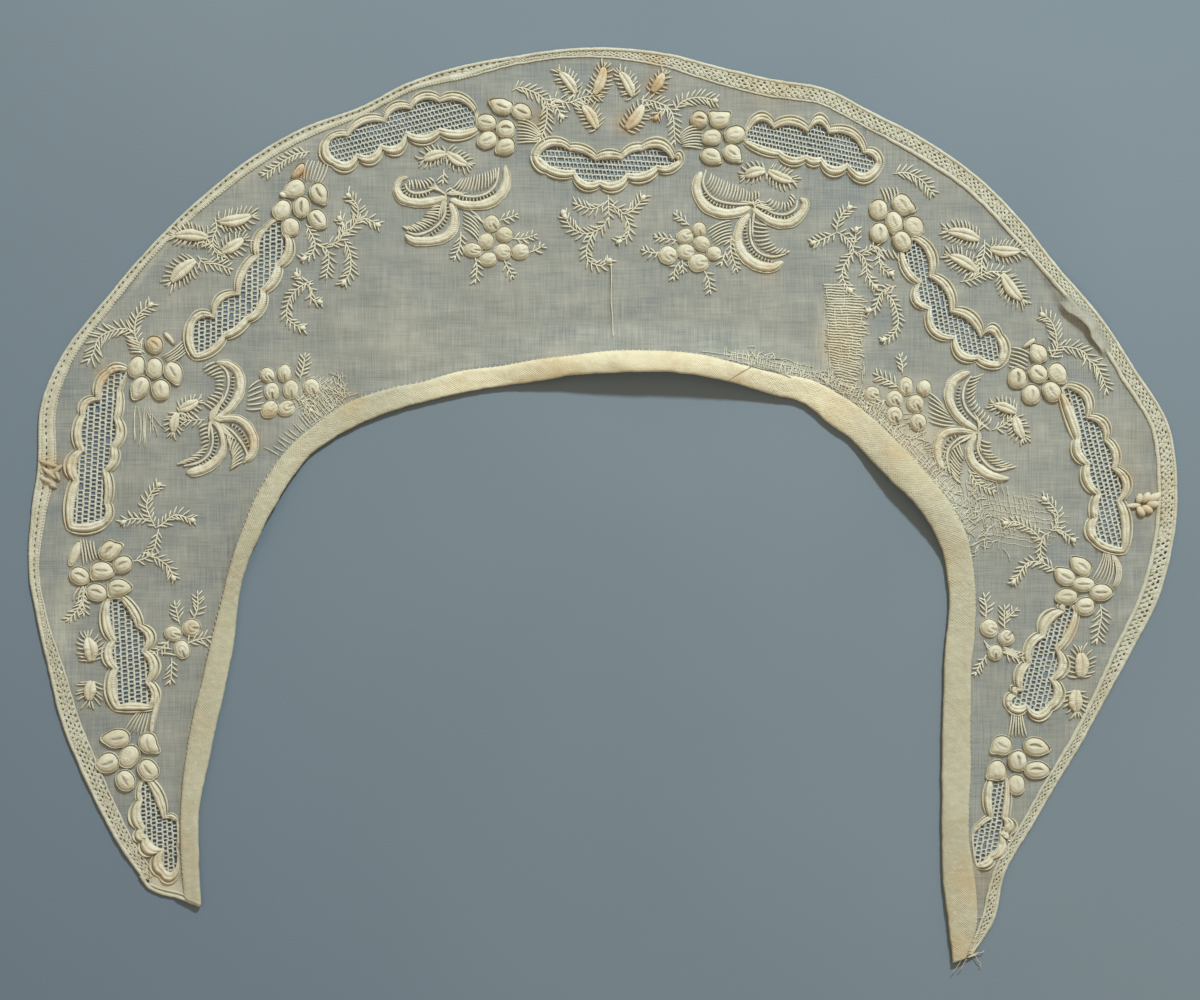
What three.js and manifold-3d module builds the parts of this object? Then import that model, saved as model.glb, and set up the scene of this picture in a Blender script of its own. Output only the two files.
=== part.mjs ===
// Antique whitework embroidered collar, lying flat: a sheer muslin crescent with
// a folded neck tape, a narrow lace edging, eleven scalloped net-filled windows,
// ten clusters of padded berries between them, six small bunches and four
// three-plume scroll motifs. Millimetres, +Z up, the wearer's outside facing +Z.
//
// Plan positions are given in chart units: x to the right, y towards the points
// of the crescent, one unit = UNIT millimetres.
import * as THREE from 'three';
import { mergeVertices } from 'three/addons/utils/BufferGeometryUtils.js';
import Module from 'manifold-3d';

// ---- driving dimensions (mm unless noted) ----
const UNIT = 0.30;            // millimetres per chart unit
const GAP = 0.30;             // clearance between neighbouring pieces
const MUSLIN_T = 1.0;         // muslin ground, wall thickness
const LACE_T = 1.0;           // lace edging, wall thickness
const TAPE_T = 1.0;           // one layer of the folded neck tape
const NET_T = 0.9;            // net panels
const BORDER_T = 2.0;         // corded window borders, full height
const BORDER_INSET = 0.24;    // share of the band taken off each top corner
const TRIM_H = 1.3;           // padded motifs, height over the muslin
const BERRY_R = 9.6;          // large berry radius, chart units
const BUNCH_R = 7.6;          // small berry radius, chart units
const BERRY_TOP = 0.60;       // top radius over bottom radius
const BERRY_SIDES = 7;
const LINK_W = 6.5;           // stem between neighbouring berries, chart units
const PLUME_W = 11;           // width of a plume at its middle, chart units
const RAMP_OUT = 3.0;         // the muslin climbs into the tape over this length
const RAMP_IN = 0.5;
const TUCK = 2.0;             // muslin edge, distance from the fold of the tape
const FOLD_R = 0.8;           // chamfer at the fold of the tape
const STEPS = 60;             // stations along the collar
const ARC_STEPS = 3;          // segments per scallop
const FLAT_STEPS = 2;         // segments where a scallop hardly bows
const FLAT_BOW = 1.0;
const CREST = [0.35, 0.65, 0.86]; // muslin columns between neck zone and hem
const NECK_ZONE = 10.0;       // outermost column of the lifted neck zone

// ---- named columns for the tables below ----
const table = (columns, rows) => {
  const names = columns.split(' ');
  return rows.map(r => Object.fromEntries(names.map((n, i) => [n, r[i]])));
};

// Sections across the collar, left point to right point: neck edge, width of the
// tape, width of the lace or hem, outer edge (chart units).
const SECTIONS = table('neckX neckY tapeW laceW edgeX edgeY', [
  [201, 905, 17, 12, 144, 880],
  [199, 855, 17, 14, 119, 845],
  [199, 810, 17, 16, 98, 806],
  [208, 765, 22, 17, 78, 763],
  [217, 723, 24, 17, 61, 720],
  [226, 683, 23, 15, 49, 671],
  [234, 642, 22, 10, 38, 623],
  [238, 603, 16, 9, 29, 570],
  [247, 566, 15, 13, 31, 518],
  [262, 532, 18, 17, 38, 463],
  [277, 503, 21, 15, 41, 405],
  [294, 475, 21, 11, 64, 352],
  [311, 454, 20, 9, 104, 301],
  [329, 441, 21, 8, 149, 248],
  [349, 429, 23, 9, 197, 201],
  [373, 418, 23, 10, 248, 160],
  [401, 408, 21, 10, 301, 129],
  [430, 400, 19, 8, 360, 107],
  [463, 392, 20, 8, 410, 82],
  [500, 386, 19, 12, 461, 66],
  [536, 381, 20, 8, 515, 56],
  [576, 375, 19, 8, 567, 49],
  [615, 373, 21, 10, 617, 48],
  [655, 372, 20, 13, 669, 54],
  [695, 375, 20, 16, 720, 67],
  [733, 383, 19, 17, 771, 79],
  [768, 393, 20, 16, 824, 88],
  [804, 403, 23, 16, 872, 112],
  [830, 424, 30, 16, 924, 139],
  [852, 440, 30, 15, 977, 176],
  [870, 459, 31, 15, 1021, 220],
  [890, 480, 31, 12, 1060, 270],
  [911, 500, 28, 13, 1102, 319],
  [929, 524, 28, 14, 1135, 369],
  [942, 551, 28, 15, 1167, 421],
  [948, 581, 27, 17, 1177, 481],
  [949, 610, 27, 17, 1173, 542],
  [946, 640, 28, 16, 1157, 601],
  [944, 672, 26, 14, 1130, 654],
  [943, 711, 27, 10, 1104, 701],
  [942, 750, 28, 9, 1079, 747],
  [942, 792, 27, 10, 1053, 790],
  [942, 834, 26, 9, 1029, 831],
  [943, 877, 30, 10, 1005, 873],
  [948, 920, 28, 11, 994, 920],
  [953, 962, 13, 4, 972, 955],
]);

// Places where the cloth stands off the table: centre, half axes and turn of an
// oval rise (chart units, degrees) and its height (mm).
const FOLDS = table('x y rx ry turn height', [
  [655, 366, 200, 46, 2, 5.2],      // neck edge at the centre back
  [915, 492, 95, 40, 50, 2.8],      // neck edge, right curve
  [258, 522, 95, 34, -60, 2.2],     // neck edge, left curve
  [1074, 300, 66, 20, 51, 1.7],     // crease along the right outer edge
  [62, 660, 60, 16, 72, 1.0],       // hem wave on the left
]);

// Window outlines. Each row is one scallop, clockwise in plan: where it starts on
// the net, how far it bows out to the next start, and the width of its border.
const SCALLOP = 'x y bow band';
const WINDOWS = {
  '01': table(SCALLOP, [
    [150, 782, -1, 11], [164, 818, 1, 6], [177, 821, 0.5, 3], [177, 848, 0.5, 3], [177, 870, 1, 12],
    [164, 871, 1, 13], [163, 850, 1, 15], [146, 838, 1, 12], [144, 828, 2, 13], [142, 800, 1, 6], [143, 782, 1, 4]]),
  '02': table(SCALLOP, [
    [122, 598, 0, 10], [138, 626, 6, 11], [143, 651, 5, 12], [147, 682, 3, 10], [150, 706, -4, 10],
    [119, 706, 2, 12], [117, 668, 4, 11], [115, 640, 2, 11], [110, 600, 0, 4]]),
  '03': table(SCALLOP, [
    [127, 371, -1, 4], [119, 390, -1, 9], [116, 418, 2, 11], [113, 447, 2, 10], [105, 471, 0, 10],
    [106, 503, 1, 9], [104, 521, 0, 11], [72, 525, 0, 11], [78, 481, 4, 13], [83, 450, 2, 10],
    [84, 416, 4, 9], [99, 399, 1, 10], [109, 374, 1, 9]]),
  '04': table(SCALLOP, [
    [284, 218, 1, 4], [287, 236, 3, 11], [277, 265, 1, 11], [262, 290, 4, 10], [246, 319, 0, 10],
    [224, 335, 2, 9], [196, 355, 1, 10], [194, 322, 2, 9], [214, 317, 6, 9], [239, 294, 3, 9],
    [258, 256, 2, 9], [266, 230, 1, 5]]),
  '05': table(SCALLOP, [
    [475, 113, 0, 4], [476, 129, 1, 11], [440, 130, 4, 11], [406, 133, 7, 11], [381, 146, 5, 11],
    [357, 155, 4, 11], [335, 161, 2, 11], [329, 141, 1, 7], [348, 135, 5, 9], [385, 121, 5, 9],
    [411, 108, 5, 9], [440, 101, 6, 9]]),
  '06': table(SCALLOP, [
    [537, 156, 6, 10], [570, 149, 1, 9], [596, 159, 0, 10], [622, 158, 1, 9], [642, 149, 6, 11],
    [673, 159, 1, 9], [679, 161, 1, 9], [657, 167, 2, 11], [627, 175, 4, 11], [600, 182, 5, 10],
    [574, 172, 0, 10], [549, 168, -2, 12]]),
  '07': table(SCALLOP, [
    [745, 140, 0, 4], [749, 127, 6, 10], [774, 127, 4, 10], [808, 131, 8, 11], [829, 132, 7, 9],
    [864, 152, 1, 9], [878, 163, 9, 11], [847, 165, 5, 11], [821, 159, 0, 10], [806, 157, 3, 10],
    [779, 152, 0, 9]]),
  '08': table(SCALLOP, [
    [903, 250, 0, 4], [914, 238, 5, 10], [930, 276, 5, 10], [951, 311, 4, 11], [981, 337, 5, 10],
    [998, 338, 1, 11], [998, 363, 0, 9], [978, 357, 6, 10], [955, 337, 9, 9], [930, 308, 7, 9],
    [920, 282, 3, 9]]),
  '09': table(SCALLOP, [
    [1062, 392, 0, 4], [1068, 386, 6, 10], [1087, 417, 5, 10], [1105, 440, 3, 9], [1113, 468, 7, 10],
    [1118, 501, 1, 11], [1122, 549, 0, 9], [1096, 539, 1, 12], [1096, 518, 0, 10], [1099, 494, 3, 11],
    [1088, 463, 3, 11], [1079, 437, -4, 12]]),
  '10': table(SCALLOP, [
    [1065, 605, 1, 4], [1075, 610, 1, 9], [1056, 649, 5, 12], [1051, 679, 4, 12], [1048, 706, 6, 10],
    [1026, 705, 0, 10], [1011, 706, 1, 9], [1015, 695, 1, 10], [1021, 690, 2, 11], [1029, 663, 4, 10],
    [1043, 636, 2, 14], [1064, 611, 0, 8]]),
  '11': table(SCALLOP, [
    [992, 780, 0, 4], [1006, 779, -1, 8], [1003, 817, 1, 13], [1004, 831, 0, 12], [1000, 833, 3, 12],
    [990, 856, 0, 10], [977, 864, 1, 3], [973, 833, 0, 6], [991, 817, 0, 10]]),
};

// Berry clusters: centres, and the open fan of stitches joining each one to the
// window beside it (root, far end, half width at each).
const CLUSTERS = {
  '01': { berries: table('x y', [[118, 738], [148, 742], [129, 755], [148, 768], [127, 780], [108, 763]]),
    fan: [141, 730, 142, 712, 5, 11] },
  '02': { berries: table('x y', [[109, 550], [125, 563], [103, 569], [118, 586], [97, 591], [81, 574]]),
    fan: [92, 560, 90, 541, 5, 9] },
  '03': { berries: table('x y', [[154, 345], [136, 366], [155, 369], [172, 372], [161, 390], [141, 387]]),
    fan: [168, 358, 180, 347, 5, 8] },
  '04': { berries: table('x y', [[297, 172], [295, 187], [320, 192], [302, 206], [317, 218], [291, 227], [281, 208]]),
    fan: [308, 182, 316, 160, 6, 10] },
  '05': { berries: table('x y', [[522, 110], [495, 106], [506, 127], [505, 148], [487, 140], [485, 122]]),
    fan: [516, 130, 537, 138, 9, 3] },
  '06': { berries: table('x y', [[698, 119], [719, 118], [733, 133], [711, 136], [731, 150], [709, 153]]),
    fan: [700, 134, 679, 142, 9, 3] },
  '07': { berries: table('x y', [[900, 200], [912, 225], [893, 221], [877, 209], [877, 233], [897, 240]]),
    fan: [895, 196, 886, 184, 9, 7] },
  '08': { berries: table('x y', [[1037, 353], [1056, 370], [1037, 373], [1016, 377], [1031, 393], [1050, 390]]),
    fan: [1032, 352, 1016, 346, 6, 6] },
  '09': { berries: table('x y', [[1083, 564], [1065, 576], [1085, 583], [1099, 590], [1086, 604], [1067, 594]]),
    fan: [1096, 576, 1104, 562, 5, 9] },
  '10': { berries: table('x y', [[1002, 743], [1017, 760], [1036, 745], [1037, 770], [1015, 785], [997, 770]]),
    fan: [1020, 748, 1022, 722, 5, 11] },
};

// Bunches of small round berries.
const BUNCHES = {
  '01': table('x y', [[173, 632], [193, 627], [183, 649]]),
  '02': table('x y', [[267, 374], [285, 370], [292, 388], [312, 385], [286, 408], [268, 410], [272, 390]]),
  '03': table('x y', [[490, 223], [504, 233], [519, 250], [501, 250], [487, 259], [473, 250], [482, 240]]),
  '04': table('x y', [[700, 228], [685, 235], [667, 253], [685, 248], [698, 262], [713, 254], [701, 243]]),
  '05': table('x y', [[905, 383], [925, 387], [915, 404], [915, 423], [893, 415], [893, 397], [870, 395]]),
  '06': table('x y', [[990, 627], [1007, 637], [993, 652]]),
};

// Plume motifs: every row is one curling plume, from the shared root to its tip.
const PLUME = 'x0 y0 x1 y1 x2 y2 x3 y3';
const PLUMES = {
  '01': table(PLUME, [
    [212, 420, 240, 402, 246, 381, 231, 366],
    [212, 420, 226, 441, 218, 463, 197, 474],
    [212, 420, 238, 419, 256, 438, 251, 461]]),
  '02': table(PLUME, [
    [448, 200, 425, 208, 400, 203, 398, 180],
    [448, 200, 468, 207, 495, 202, 508, 170],
    [448, 200, 455, 222, 440, 240, 412, 243]]),
  '03': table(PLUME, [
    [748, 217, 724, 216, 703, 202, 701, 174],
    [748, 217, 772, 227, 800, 221, 797, 199],
    [748, 217, 742, 240, 756, 260, 779, 264]]),
  '04': table(PLUME, [
    [978, 432, 958, 416, 948, 395, 962, 375],
    [978, 432, 976, 455, 988, 474, 1009, 478],
    [978, 432, 950, 438, 942, 458, 949, 474]]),
};

// ---- small helpers ----
const wasm = await Module();
wasm.setup();

const lerp = (a, b, t) => a + (b - a) * t;
const chart = SECTIONS.flatMap(s => [[s.edgeX, s.edgeY], [s.neckX, s.neckY]]);

// Catmull-Rom through the section rows, at a fractional row.
const rowAt = (q, key) => {
  const n = SECTIONS.length - 1;
  const i = Math.min(Math.floor(q), n - 1), t = q - i;
  const v = k => SECTIONS[Math.max(0, Math.min(n, k))][key];
  const [a, b, c, d] = [v(i - 1), v(i), v(i + 1), v(i + 2)];
  return b + 0.5 * t * (c - a + t * (2 * a - 5 * b + 4 * c - d + t * (3 * (b - c) + d - a)));
};

const bounds = () => {
  const xs = [], ys = [];
  for (let i = 0; i <= STEPS; i++) {
    const q = i * (SECTIONS.length - 1) / STEPS;
    xs.push(rowAt(q, 'edgeX'), rowAt(q, 'neckX'));
    ys.push(rowAt(q, 'edgeY'), rowAt(q, 'neckY'));
  }
  return [(Math.min(...xs) + Math.max(...xs)) / 2, (Math.min(...ys) + Math.max(...ys)) / 2];
};
const [MID_X, MID_Y] = bounds();
const mm = (x, y) => [(x - MID_X) * UNIT, (MID_Y - y) * UNIT];

// Height of the cloth's underside over the table at a chart position (mm).
const rise = (x, y) => FOLDS.reduce((sum, f) => {
  const a = f.turn * Math.PI / 180, dx = x - f.x, dy = y - f.y;
  const u = (dx * Math.cos(a) + dy * Math.sin(a)) / f.rx;
  const v = (dy * Math.cos(a) - dx * Math.sin(a)) / f.ry;
  const r = 1 - u * u - v * v;
  return r > 0 ? sum + f.height * r * r : sum;
}, 0);

const lift = (x, y, z) => { const [X, Y] = mm(x, y); return [X, Y, z + rise(x, y)]; };

// Closed or capped sweep through rings of 3D points, outward facing.
const sweep = (rings, { closed = false, flat = null } = {}) => {
  const n = rings[0].length, pos = rings.flat(2), idx = [];
  const m = closed ? rings.length : rings.length - 1;
  for (let i = 0; i < m; i++) {
    const a = i * n, b = ((i + 1) % rings.length) * n;
    for (let j = 0; j < n; j++) {
      const k = (j + 1) % n;
      idx.push(a + j, b + j, b + k, a + j, b + k, a + k);
    }
  }
  if (!closed) {
    const cap = THREE.ShapeUtils.triangulateShape(flat.map(p => new THREE.Vector2(p[0], p[1])), []);
    const last = (rings.length - 1) * n;
    const ccw = THREE.ShapeUtils.area(flat.map(p => new THREE.Vector2(p[0], p[1]))) > 0;
    for (const [p, q, r] of cap) {
      idx.push(...(ccw ? [p, q, r] : [p, r, q]));
      idx.push(...(ccw ? [last + p, last + r, last + q] : [last + p, last + q, last + r]));
    }
  }
  const g = new THREE.BufferGeometry();
  g.setAttribute('position', new THREE.Float32BufferAttribute(pos, 3));
  g.setIndex(idx);
  return turnedOut(g);
};

const volume = g => {
  const p = g.attributes.position, ix = g.index.array;
  let v = 0;
  const a = new THREE.Vector3(), b = new THREE.Vector3(), c = new THREE.Vector3();
  for (let i = 0; i < ix.length; i += 3) {
    a.fromBufferAttribute(p, ix[i]); b.fromBufferAttribute(p, ix[i + 1]); c.fromBufferAttribute(p, ix[i + 2]);
    v += a.dot(b.cross(c)) / 6;
  }
  return v;
};
const turnedOut = g => {
  if (volume(g) < 0) {
    const ix = g.index.array;
    for (let i = 0; i < ix.length; i += 3) [ix[i + 1], ix[i + 2]] = [ix[i + 2], ix[i + 1]];
  }
  return g;
};

// Upright prism over a chart outline, between two heights measured from the
// cloth's underside (followed = false keeps the heights level).
const prism = (outline, z0, z1, followed = true) => {
  const shape = new THREE.Shape(outline.map(([x, y]) => new THREE.Vector2(...mm(x, y))));
  let g = new THREE.ExtrudeGeometry(shape, { depth: 1, bevelEnabled: false, steps: 1 });
  g.deleteAttribute('normal'); g.deleteAttribute('uv');
  g = mergeVertices(g, 1e-5);
  const p = g.attributes.position;
  for (let i = 0; i < p.count; i++) {
    const cx = p.getX(i) / UNIT + MID_X, cy = MID_Y - p.getY(i) / UNIT;
    p.setZ(i, (p.getZ(i) > 0.5 ? z1 : z0) + (followed ? rise(cx, cy) : 0));
  }
  return turnedOut(g);
};

const toManifold = g => {
  let h = g.clone();
  for (const k of Object.keys(h.attributes)) if (k !== 'position') h.deleteAttribute(k);
  h = mergeVertices(h, 1e-5);
  return new wasm.Manifold(new wasm.Mesh({
    numProp: 3,
    vertProperties: new Float32Array(h.attributes.position.array),
    triVerts: new Uint32Array(h.index.array),
  }));
};
const fromManifold = m => {
  const parts = m.decompose();
  parts.sort((a, b) => b.volume() - a.volume());
  const q = parts[0].getMesh();
  const g = new THREE.BufferGeometry();
  g.setAttribute('position', new THREE.Float32BufferAttribute(q.vertProperties, 3));
  g.setIndex(Array.from(q.triVerts));
  return g;
};
const join = list => list.slice(1).reduce((a, b) => a.add(b), list[0]);

// ---- window outlines ----
// Two matched loops: the net's edge, and the border's outer edge grown by `grow`.
const windowLoops = (rows, grow = 0, shrink = 0) => {
  const n = rows.length;
  const out = (a, b) => {
    const dx = b.x - a.x, dy = b.y - a.y, l = Math.hypot(dx, dy);
    return [dy / l, -dx / l];
  };
  const normals = rows.map((r, i) => out(r, rows[(i + 1) % n]));
  const cusp = rows.map((r, i) => {
    const p = (i + n - 1) % n;
    let nx = normals[i][0] + normals[p][0], ny = normals[i][1] + normals[p][1];
    const l = Math.hypot(nx, ny) || 1;
    nx /= l; ny /= l;
    const w = 0.42 * (rows[i].band + rows[p].band) + grow;
    return { in: [r.x - nx * shrink, r.y - ny * shrink], out: [r.x + nx * w, r.y + ny * w] };
  });
  const inner = [], outer = [];
  rows.forEach((r, i) => {
    const j = (i + 1) % n, a = cusp[i], b = cusp[j], [nx, ny] = normals[i];
    const mid = [(r.x + rows[j].x) / 2, (r.y + rows[j].y) / 2];
    const outMid = [(a.out[0] + b.out[0]) / 2, (a.out[1] + b.out[1]) / 2];
    const reach = r.bow + r.band + grow - ((outMid[0] - mid[0]) * nx + (outMid[1] - mid[1]) * ny);
    const steps = Math.abs(r.bow) > FLAT_BOW ? ARC_STEPS : FLAT_STEPS;
    for (let k = 0; k < steps; k++) {
      const t = k / steps, hump = 4 * t * (1 - t);
      inner.push([lerp(a.in[0], b.in[0], t) + nx * r.bow * hump, lerp(a.in[1], b.in[1], t) + ny * r.bow * hump]);
      outer.push([lerp(a.out[0], b.out[0], t) + nx * reach * hump, lerp(a.out[1], b.out[1], t) + ny * reach * hump]);
    }
  });
  return { inner, outer };
};

const borderSolid = rows => {
  const { inner, outer } = windowLoops(rows);
  const rings = inner.map((a, i) => {
    const b = outer[i], c = BORDER_INSET;
    const at = t => [lerp(a[0], b[0], t), lerp(a[1], b[1], t)];
    return [lift(...a, 0), lift(...b, 0), lift(...at(1 - c), BORDER_T), lift(...at(c), BORDER_T)];
  });
  return toManifold(sweep(rings, { closed: true }));
};

// ---- padded motifs ----
const disc = (x, y, r, sides = BERRY_SIDES) => Array.from({ length: sides }, (_, i) => {
  const a = (i + 0.5) * 2 * Math.PI / sides;
  return [x + r * Math.cos(a), y + r * Math.sin(a)];
});
const berry = (x, y, r) => {
  const low = disc(x, y, r), high = disc(x, y, r * BERRY_TOP), z = MUSLIN_T + GAP;
  const rings = [low.map(p => lift(...p, z)), high.map(p => lift(...p, z + TRIM_H))];
  return toManifold(sweep(rings, { flat: low }));
};
const bar = (x0, y0, x1, y1, w0, w1, over = 0) => {
  const l = Math.hypot(x1 - x0, y1 - y0), ux = (x1 - x0) / l, uy = (y1 - y0) / l;
  const a = [x0 - ux * over, y0 - uy * over], b = [x1 + ux * over, y1 + uy * over];
  return [[a[0] - uy * w0, a[1] + ux * w0], [b[0] - uy * w1, b[1] + ux * w1],
    [b[0] + uy * w1, b[1] - ux * w1], [a[0] + uy * w0, a[1] - ux * w0]];
};
const pairs = list => list.slice(1).map((p, i) => [list[i], p]);

// One padded motif made of berries joined by short stems.
const berries = (list, r) => join([
  ...list.map(p => berry(p.x, p.y, r)),
  ...pairs(list).map(([p, q]) => toManifold(prism(
    bar(p.x, p.y, q.x, q.y, LINK_W / 2, LINK_W / 2), MUSLIN_T + GAP, MUSLIN_T + GAP + 0.4 * TRIM_H))),
]);
const berriesRoom = (list, r) => join([
  ...list.map(p => toManifold(prism(disc(p.x, p.y, r + 1.1 * GAP / UNIT), -5, 25, false))),
  ...pairs(list).map(([p, q]) => toManifold(prism(
    bar(p.x, p.y, q.x, q.y, LINK_W / 2 + GAP / UNIT, LINK_W / 2 + GAP / UNIT), -5, 25, false))),
]);

const plumeSolid = row => {
  const pts = [[row.x0, row.y0], [row.x1, row.y1], [row.x2, row.y2], [row.x3, row.y3]]
    .map(p => new THREE.Vector3(p[0], p[1], 0));
  const curve = new THREE.CatmullRomCurve3(pts, false, 'centripetal');
  const n = 8, z = MUSLIN_T + GAP, rings = [];
  for (let i = 0; i <= n; i++) {
    const t = i / n, c = curve.getPoint(t), d = curve.getTangent(t);
    const w = PLUME_W / 2 * (0.45 + 0.55 * Math.sin(Math.PI * Math.min(1, 0.12 + 0.8 * t)));
    const at = s => [c.x - d.y * w * s, c.y + d.x * w * s];
    rings.push([lift(...at(-1), z), lift(...at(1), z), lift(...at(0.62), z + TRIM_H), lift(...at(-0.62), z + TRIM_H)]);
  }
  return toManifold(sweep(rings, { flat: [[-1, 0], [1, 0], [0.62, 1], [-0.62, 1]] }));
};

// ---- cloth pieces swept along the collar ----
const stations = Array.from({ length: STEPS + 1 }, (_, i) => {
  const q = i * (SECTIONS.length - 1) / STEPS, get = k => rowAt(q, k);
  const neck = [get('neckX'), get('neckY')], edge = [get('edgeX'), get('edgeY')];
  const l = Math.hypot(edge[0] - neck[0], edge[1] - neck[1]);
  const at = d => [lerp(neck[0], edge[0], d / l), lerp(neck[1], edge[1], d / l)];
  return { at, length: l, tape: get('tapeW'), lace: get('laceW') };
});

const tapeSection = s => {
  const w = s.tape * UNIT, in1 = TAPE_T, in2 = TAPE_T + MUSLIN_T + 2 * GAP, top = in2 + TAPE_T;
  return [[w, 0], [FOLD_R, 0], [0, FOLD_R], [0, top - FOLD_R], [FOLD_R, top], [w, top],
    [w, in2], [TAPE_T + GAP, in2], [TAPE_T + GAP, in1], [w, in1]];
};
const muslinSection = s => {
  const up = TAPE_T + GAP, t = s.tape * UNIT, hem = (s.length - s.lace) * UNIT - GAP;
  const a = Math.min(t + RAMP_OUT, t + 0.45 * (hem - t));
  const zone = Math.min(t + NECK_ZONE, t + 0.7 * (hem - t));
  const low = [[Math.min(TUCK, 0.5 * t), up], [t + RAMP_IN * Math.min(1, (hem - t) / 4), up], [a, 0], [zone, 0],
    ...CREST.map(c => [lerp(zone, hem, c), 0]), [hem, 0]];
  return [...low, ...low.slice().reverse().map(([d, z]) => [d, z + MUSLIN_T])];
};
const laceSection = s => {
  const a = (s.length - s.lace) * UNIT, b = s.length * UNIT;
  return [[a, 0], [b, 0], [b, LACE_T], [a, LACE_T]];
};
const along = section => sweep(
  stations.map(s => section(s).map(([d, z]) => lift(...s.at(d / UNIT), z))),
  { flat: section(stations[0]) });

// ---- assembly ----
const COLOURS = {
  muslin: 0xb4b6a6, tape: 0xdcd2b6, lace: 0xd2cbb0, net: 0xc3c7ba,
  border: 0xe4dabb, berry: 0xe6dcc0, bunch: 0xe6dcbe, plume: 0xe2d9bc,
};
const collar = new THREE.Group();
collar.name = 'embroidered_collar';
const place = (name, geometry, colour, rough = 0.9) => {
  const g = geometry.index ? geometry.toNonIndexed() : geometry;
  g.computeVertexNormals();
  const mesh = new THREE.Mesh(g, new THREE.MeshStandardMaterial({ color: colour, roughness: rough, metalness: 0 }));
  mesh.name = name;
  collar.add(mesh);
};

const reach = GAP / UNIT;
const berryRoom = join(Object.values(CLUSTERS).map(c => berriesRoom(c.berries, BERRY_R)));
const windowRoom = join(Object.values(WINDOWS).map(
  rows => toManifold(prism(windowLoops(rows, reach).outer, -5, 25, false))));

place('muslin_ground', fromManifold(toManifold(along(muslinSection)).subtract(windowRoom)), COLOURS.muslin, 0.95);
place('neck_tape', fromManifold(toManifold(along(tapeSection)).subtract(windowRoom)), COLOURS.tape);
place('lace_edging', fromManifold(toManifold(along(laceSection)).subtract(windowRoom)), COLOURS.lace);

for (const [id, rows] of Object.entries(WINDOWS)) {
  place(`window_border_${id}`, fromManifold(borderSolid(rows).subtract(berryRoom)), COLOURS.border, 0.8);
  const net = toManifold(prism(windowLoops(rows, 0, reach).inner, 0, NET_T));
  place(`net_panel_${id}`, fromManifold(net.subtract(berryRoom)), COLOURS.net, 0.95);
}
for (const [id, c] of Object.entries(CLUSTERS)) {
  const [x0, y0, x1, y1, w0, w1] = c.fan;
  const fan = toManifold(prism(bar(x0, y0, x1, y1, w0, w1), MUSLIN_T + GAP, MUSLIN_T + GAP + 0.5 * TRIM_H)).subtract(windowRoom);
  place(`berry_cluster_${id}`, fromManifold(berries(c.berries, BERRY_R).add(fan)), COLOURS.berry, 0.8);
}
for (const [id, list] of Object.entries(BUNCHES)) {
  place(`berry_bunch_${id}`, fromManifold(berries(list, BUNCH_R).subtract(windowRoom)), COLOURS.bunch, 0.8);
}
for (const [id, rows] of Object.entries(PLUMES)) {
  place(`plume_${id}`, fromManifold(join(rows.map(plumeSolid)).subtract(windowRoom)), COLOURS.plume, 0.8);
}

export default collar;
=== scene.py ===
"""Antique whitework embroidered collar, lying flat on plain paper.

The CAD frame is loaded first. Every piece is built in mesh code from named
tables and rides on the one body. Plan positions are chart units (x to the
right, y towards the points of the crescent, one unit = 0.3 mm), the same as the
model's own tables. Heights are millimetres above the cloth's underside.
"""
import math
import bpy
import numpy as np
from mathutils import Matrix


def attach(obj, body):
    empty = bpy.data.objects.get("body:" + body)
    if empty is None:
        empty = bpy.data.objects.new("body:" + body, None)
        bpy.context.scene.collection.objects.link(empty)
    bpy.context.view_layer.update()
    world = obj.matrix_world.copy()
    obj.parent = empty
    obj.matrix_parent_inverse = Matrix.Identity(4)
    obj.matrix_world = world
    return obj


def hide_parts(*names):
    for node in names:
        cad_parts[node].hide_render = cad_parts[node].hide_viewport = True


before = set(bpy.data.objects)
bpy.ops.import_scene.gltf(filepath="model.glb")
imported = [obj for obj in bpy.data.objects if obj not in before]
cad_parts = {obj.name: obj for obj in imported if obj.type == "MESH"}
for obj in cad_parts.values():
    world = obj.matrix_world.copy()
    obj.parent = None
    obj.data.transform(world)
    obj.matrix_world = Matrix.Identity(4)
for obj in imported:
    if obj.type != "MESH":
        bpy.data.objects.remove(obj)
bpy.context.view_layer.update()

UNIT = 0.30                 # mm per chart unit
MM = 1.0 / UNIT             # chart units per mm
CLOTH = 0.50                # the muslin's middle, mm above its underside
STEPS = 60

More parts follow.
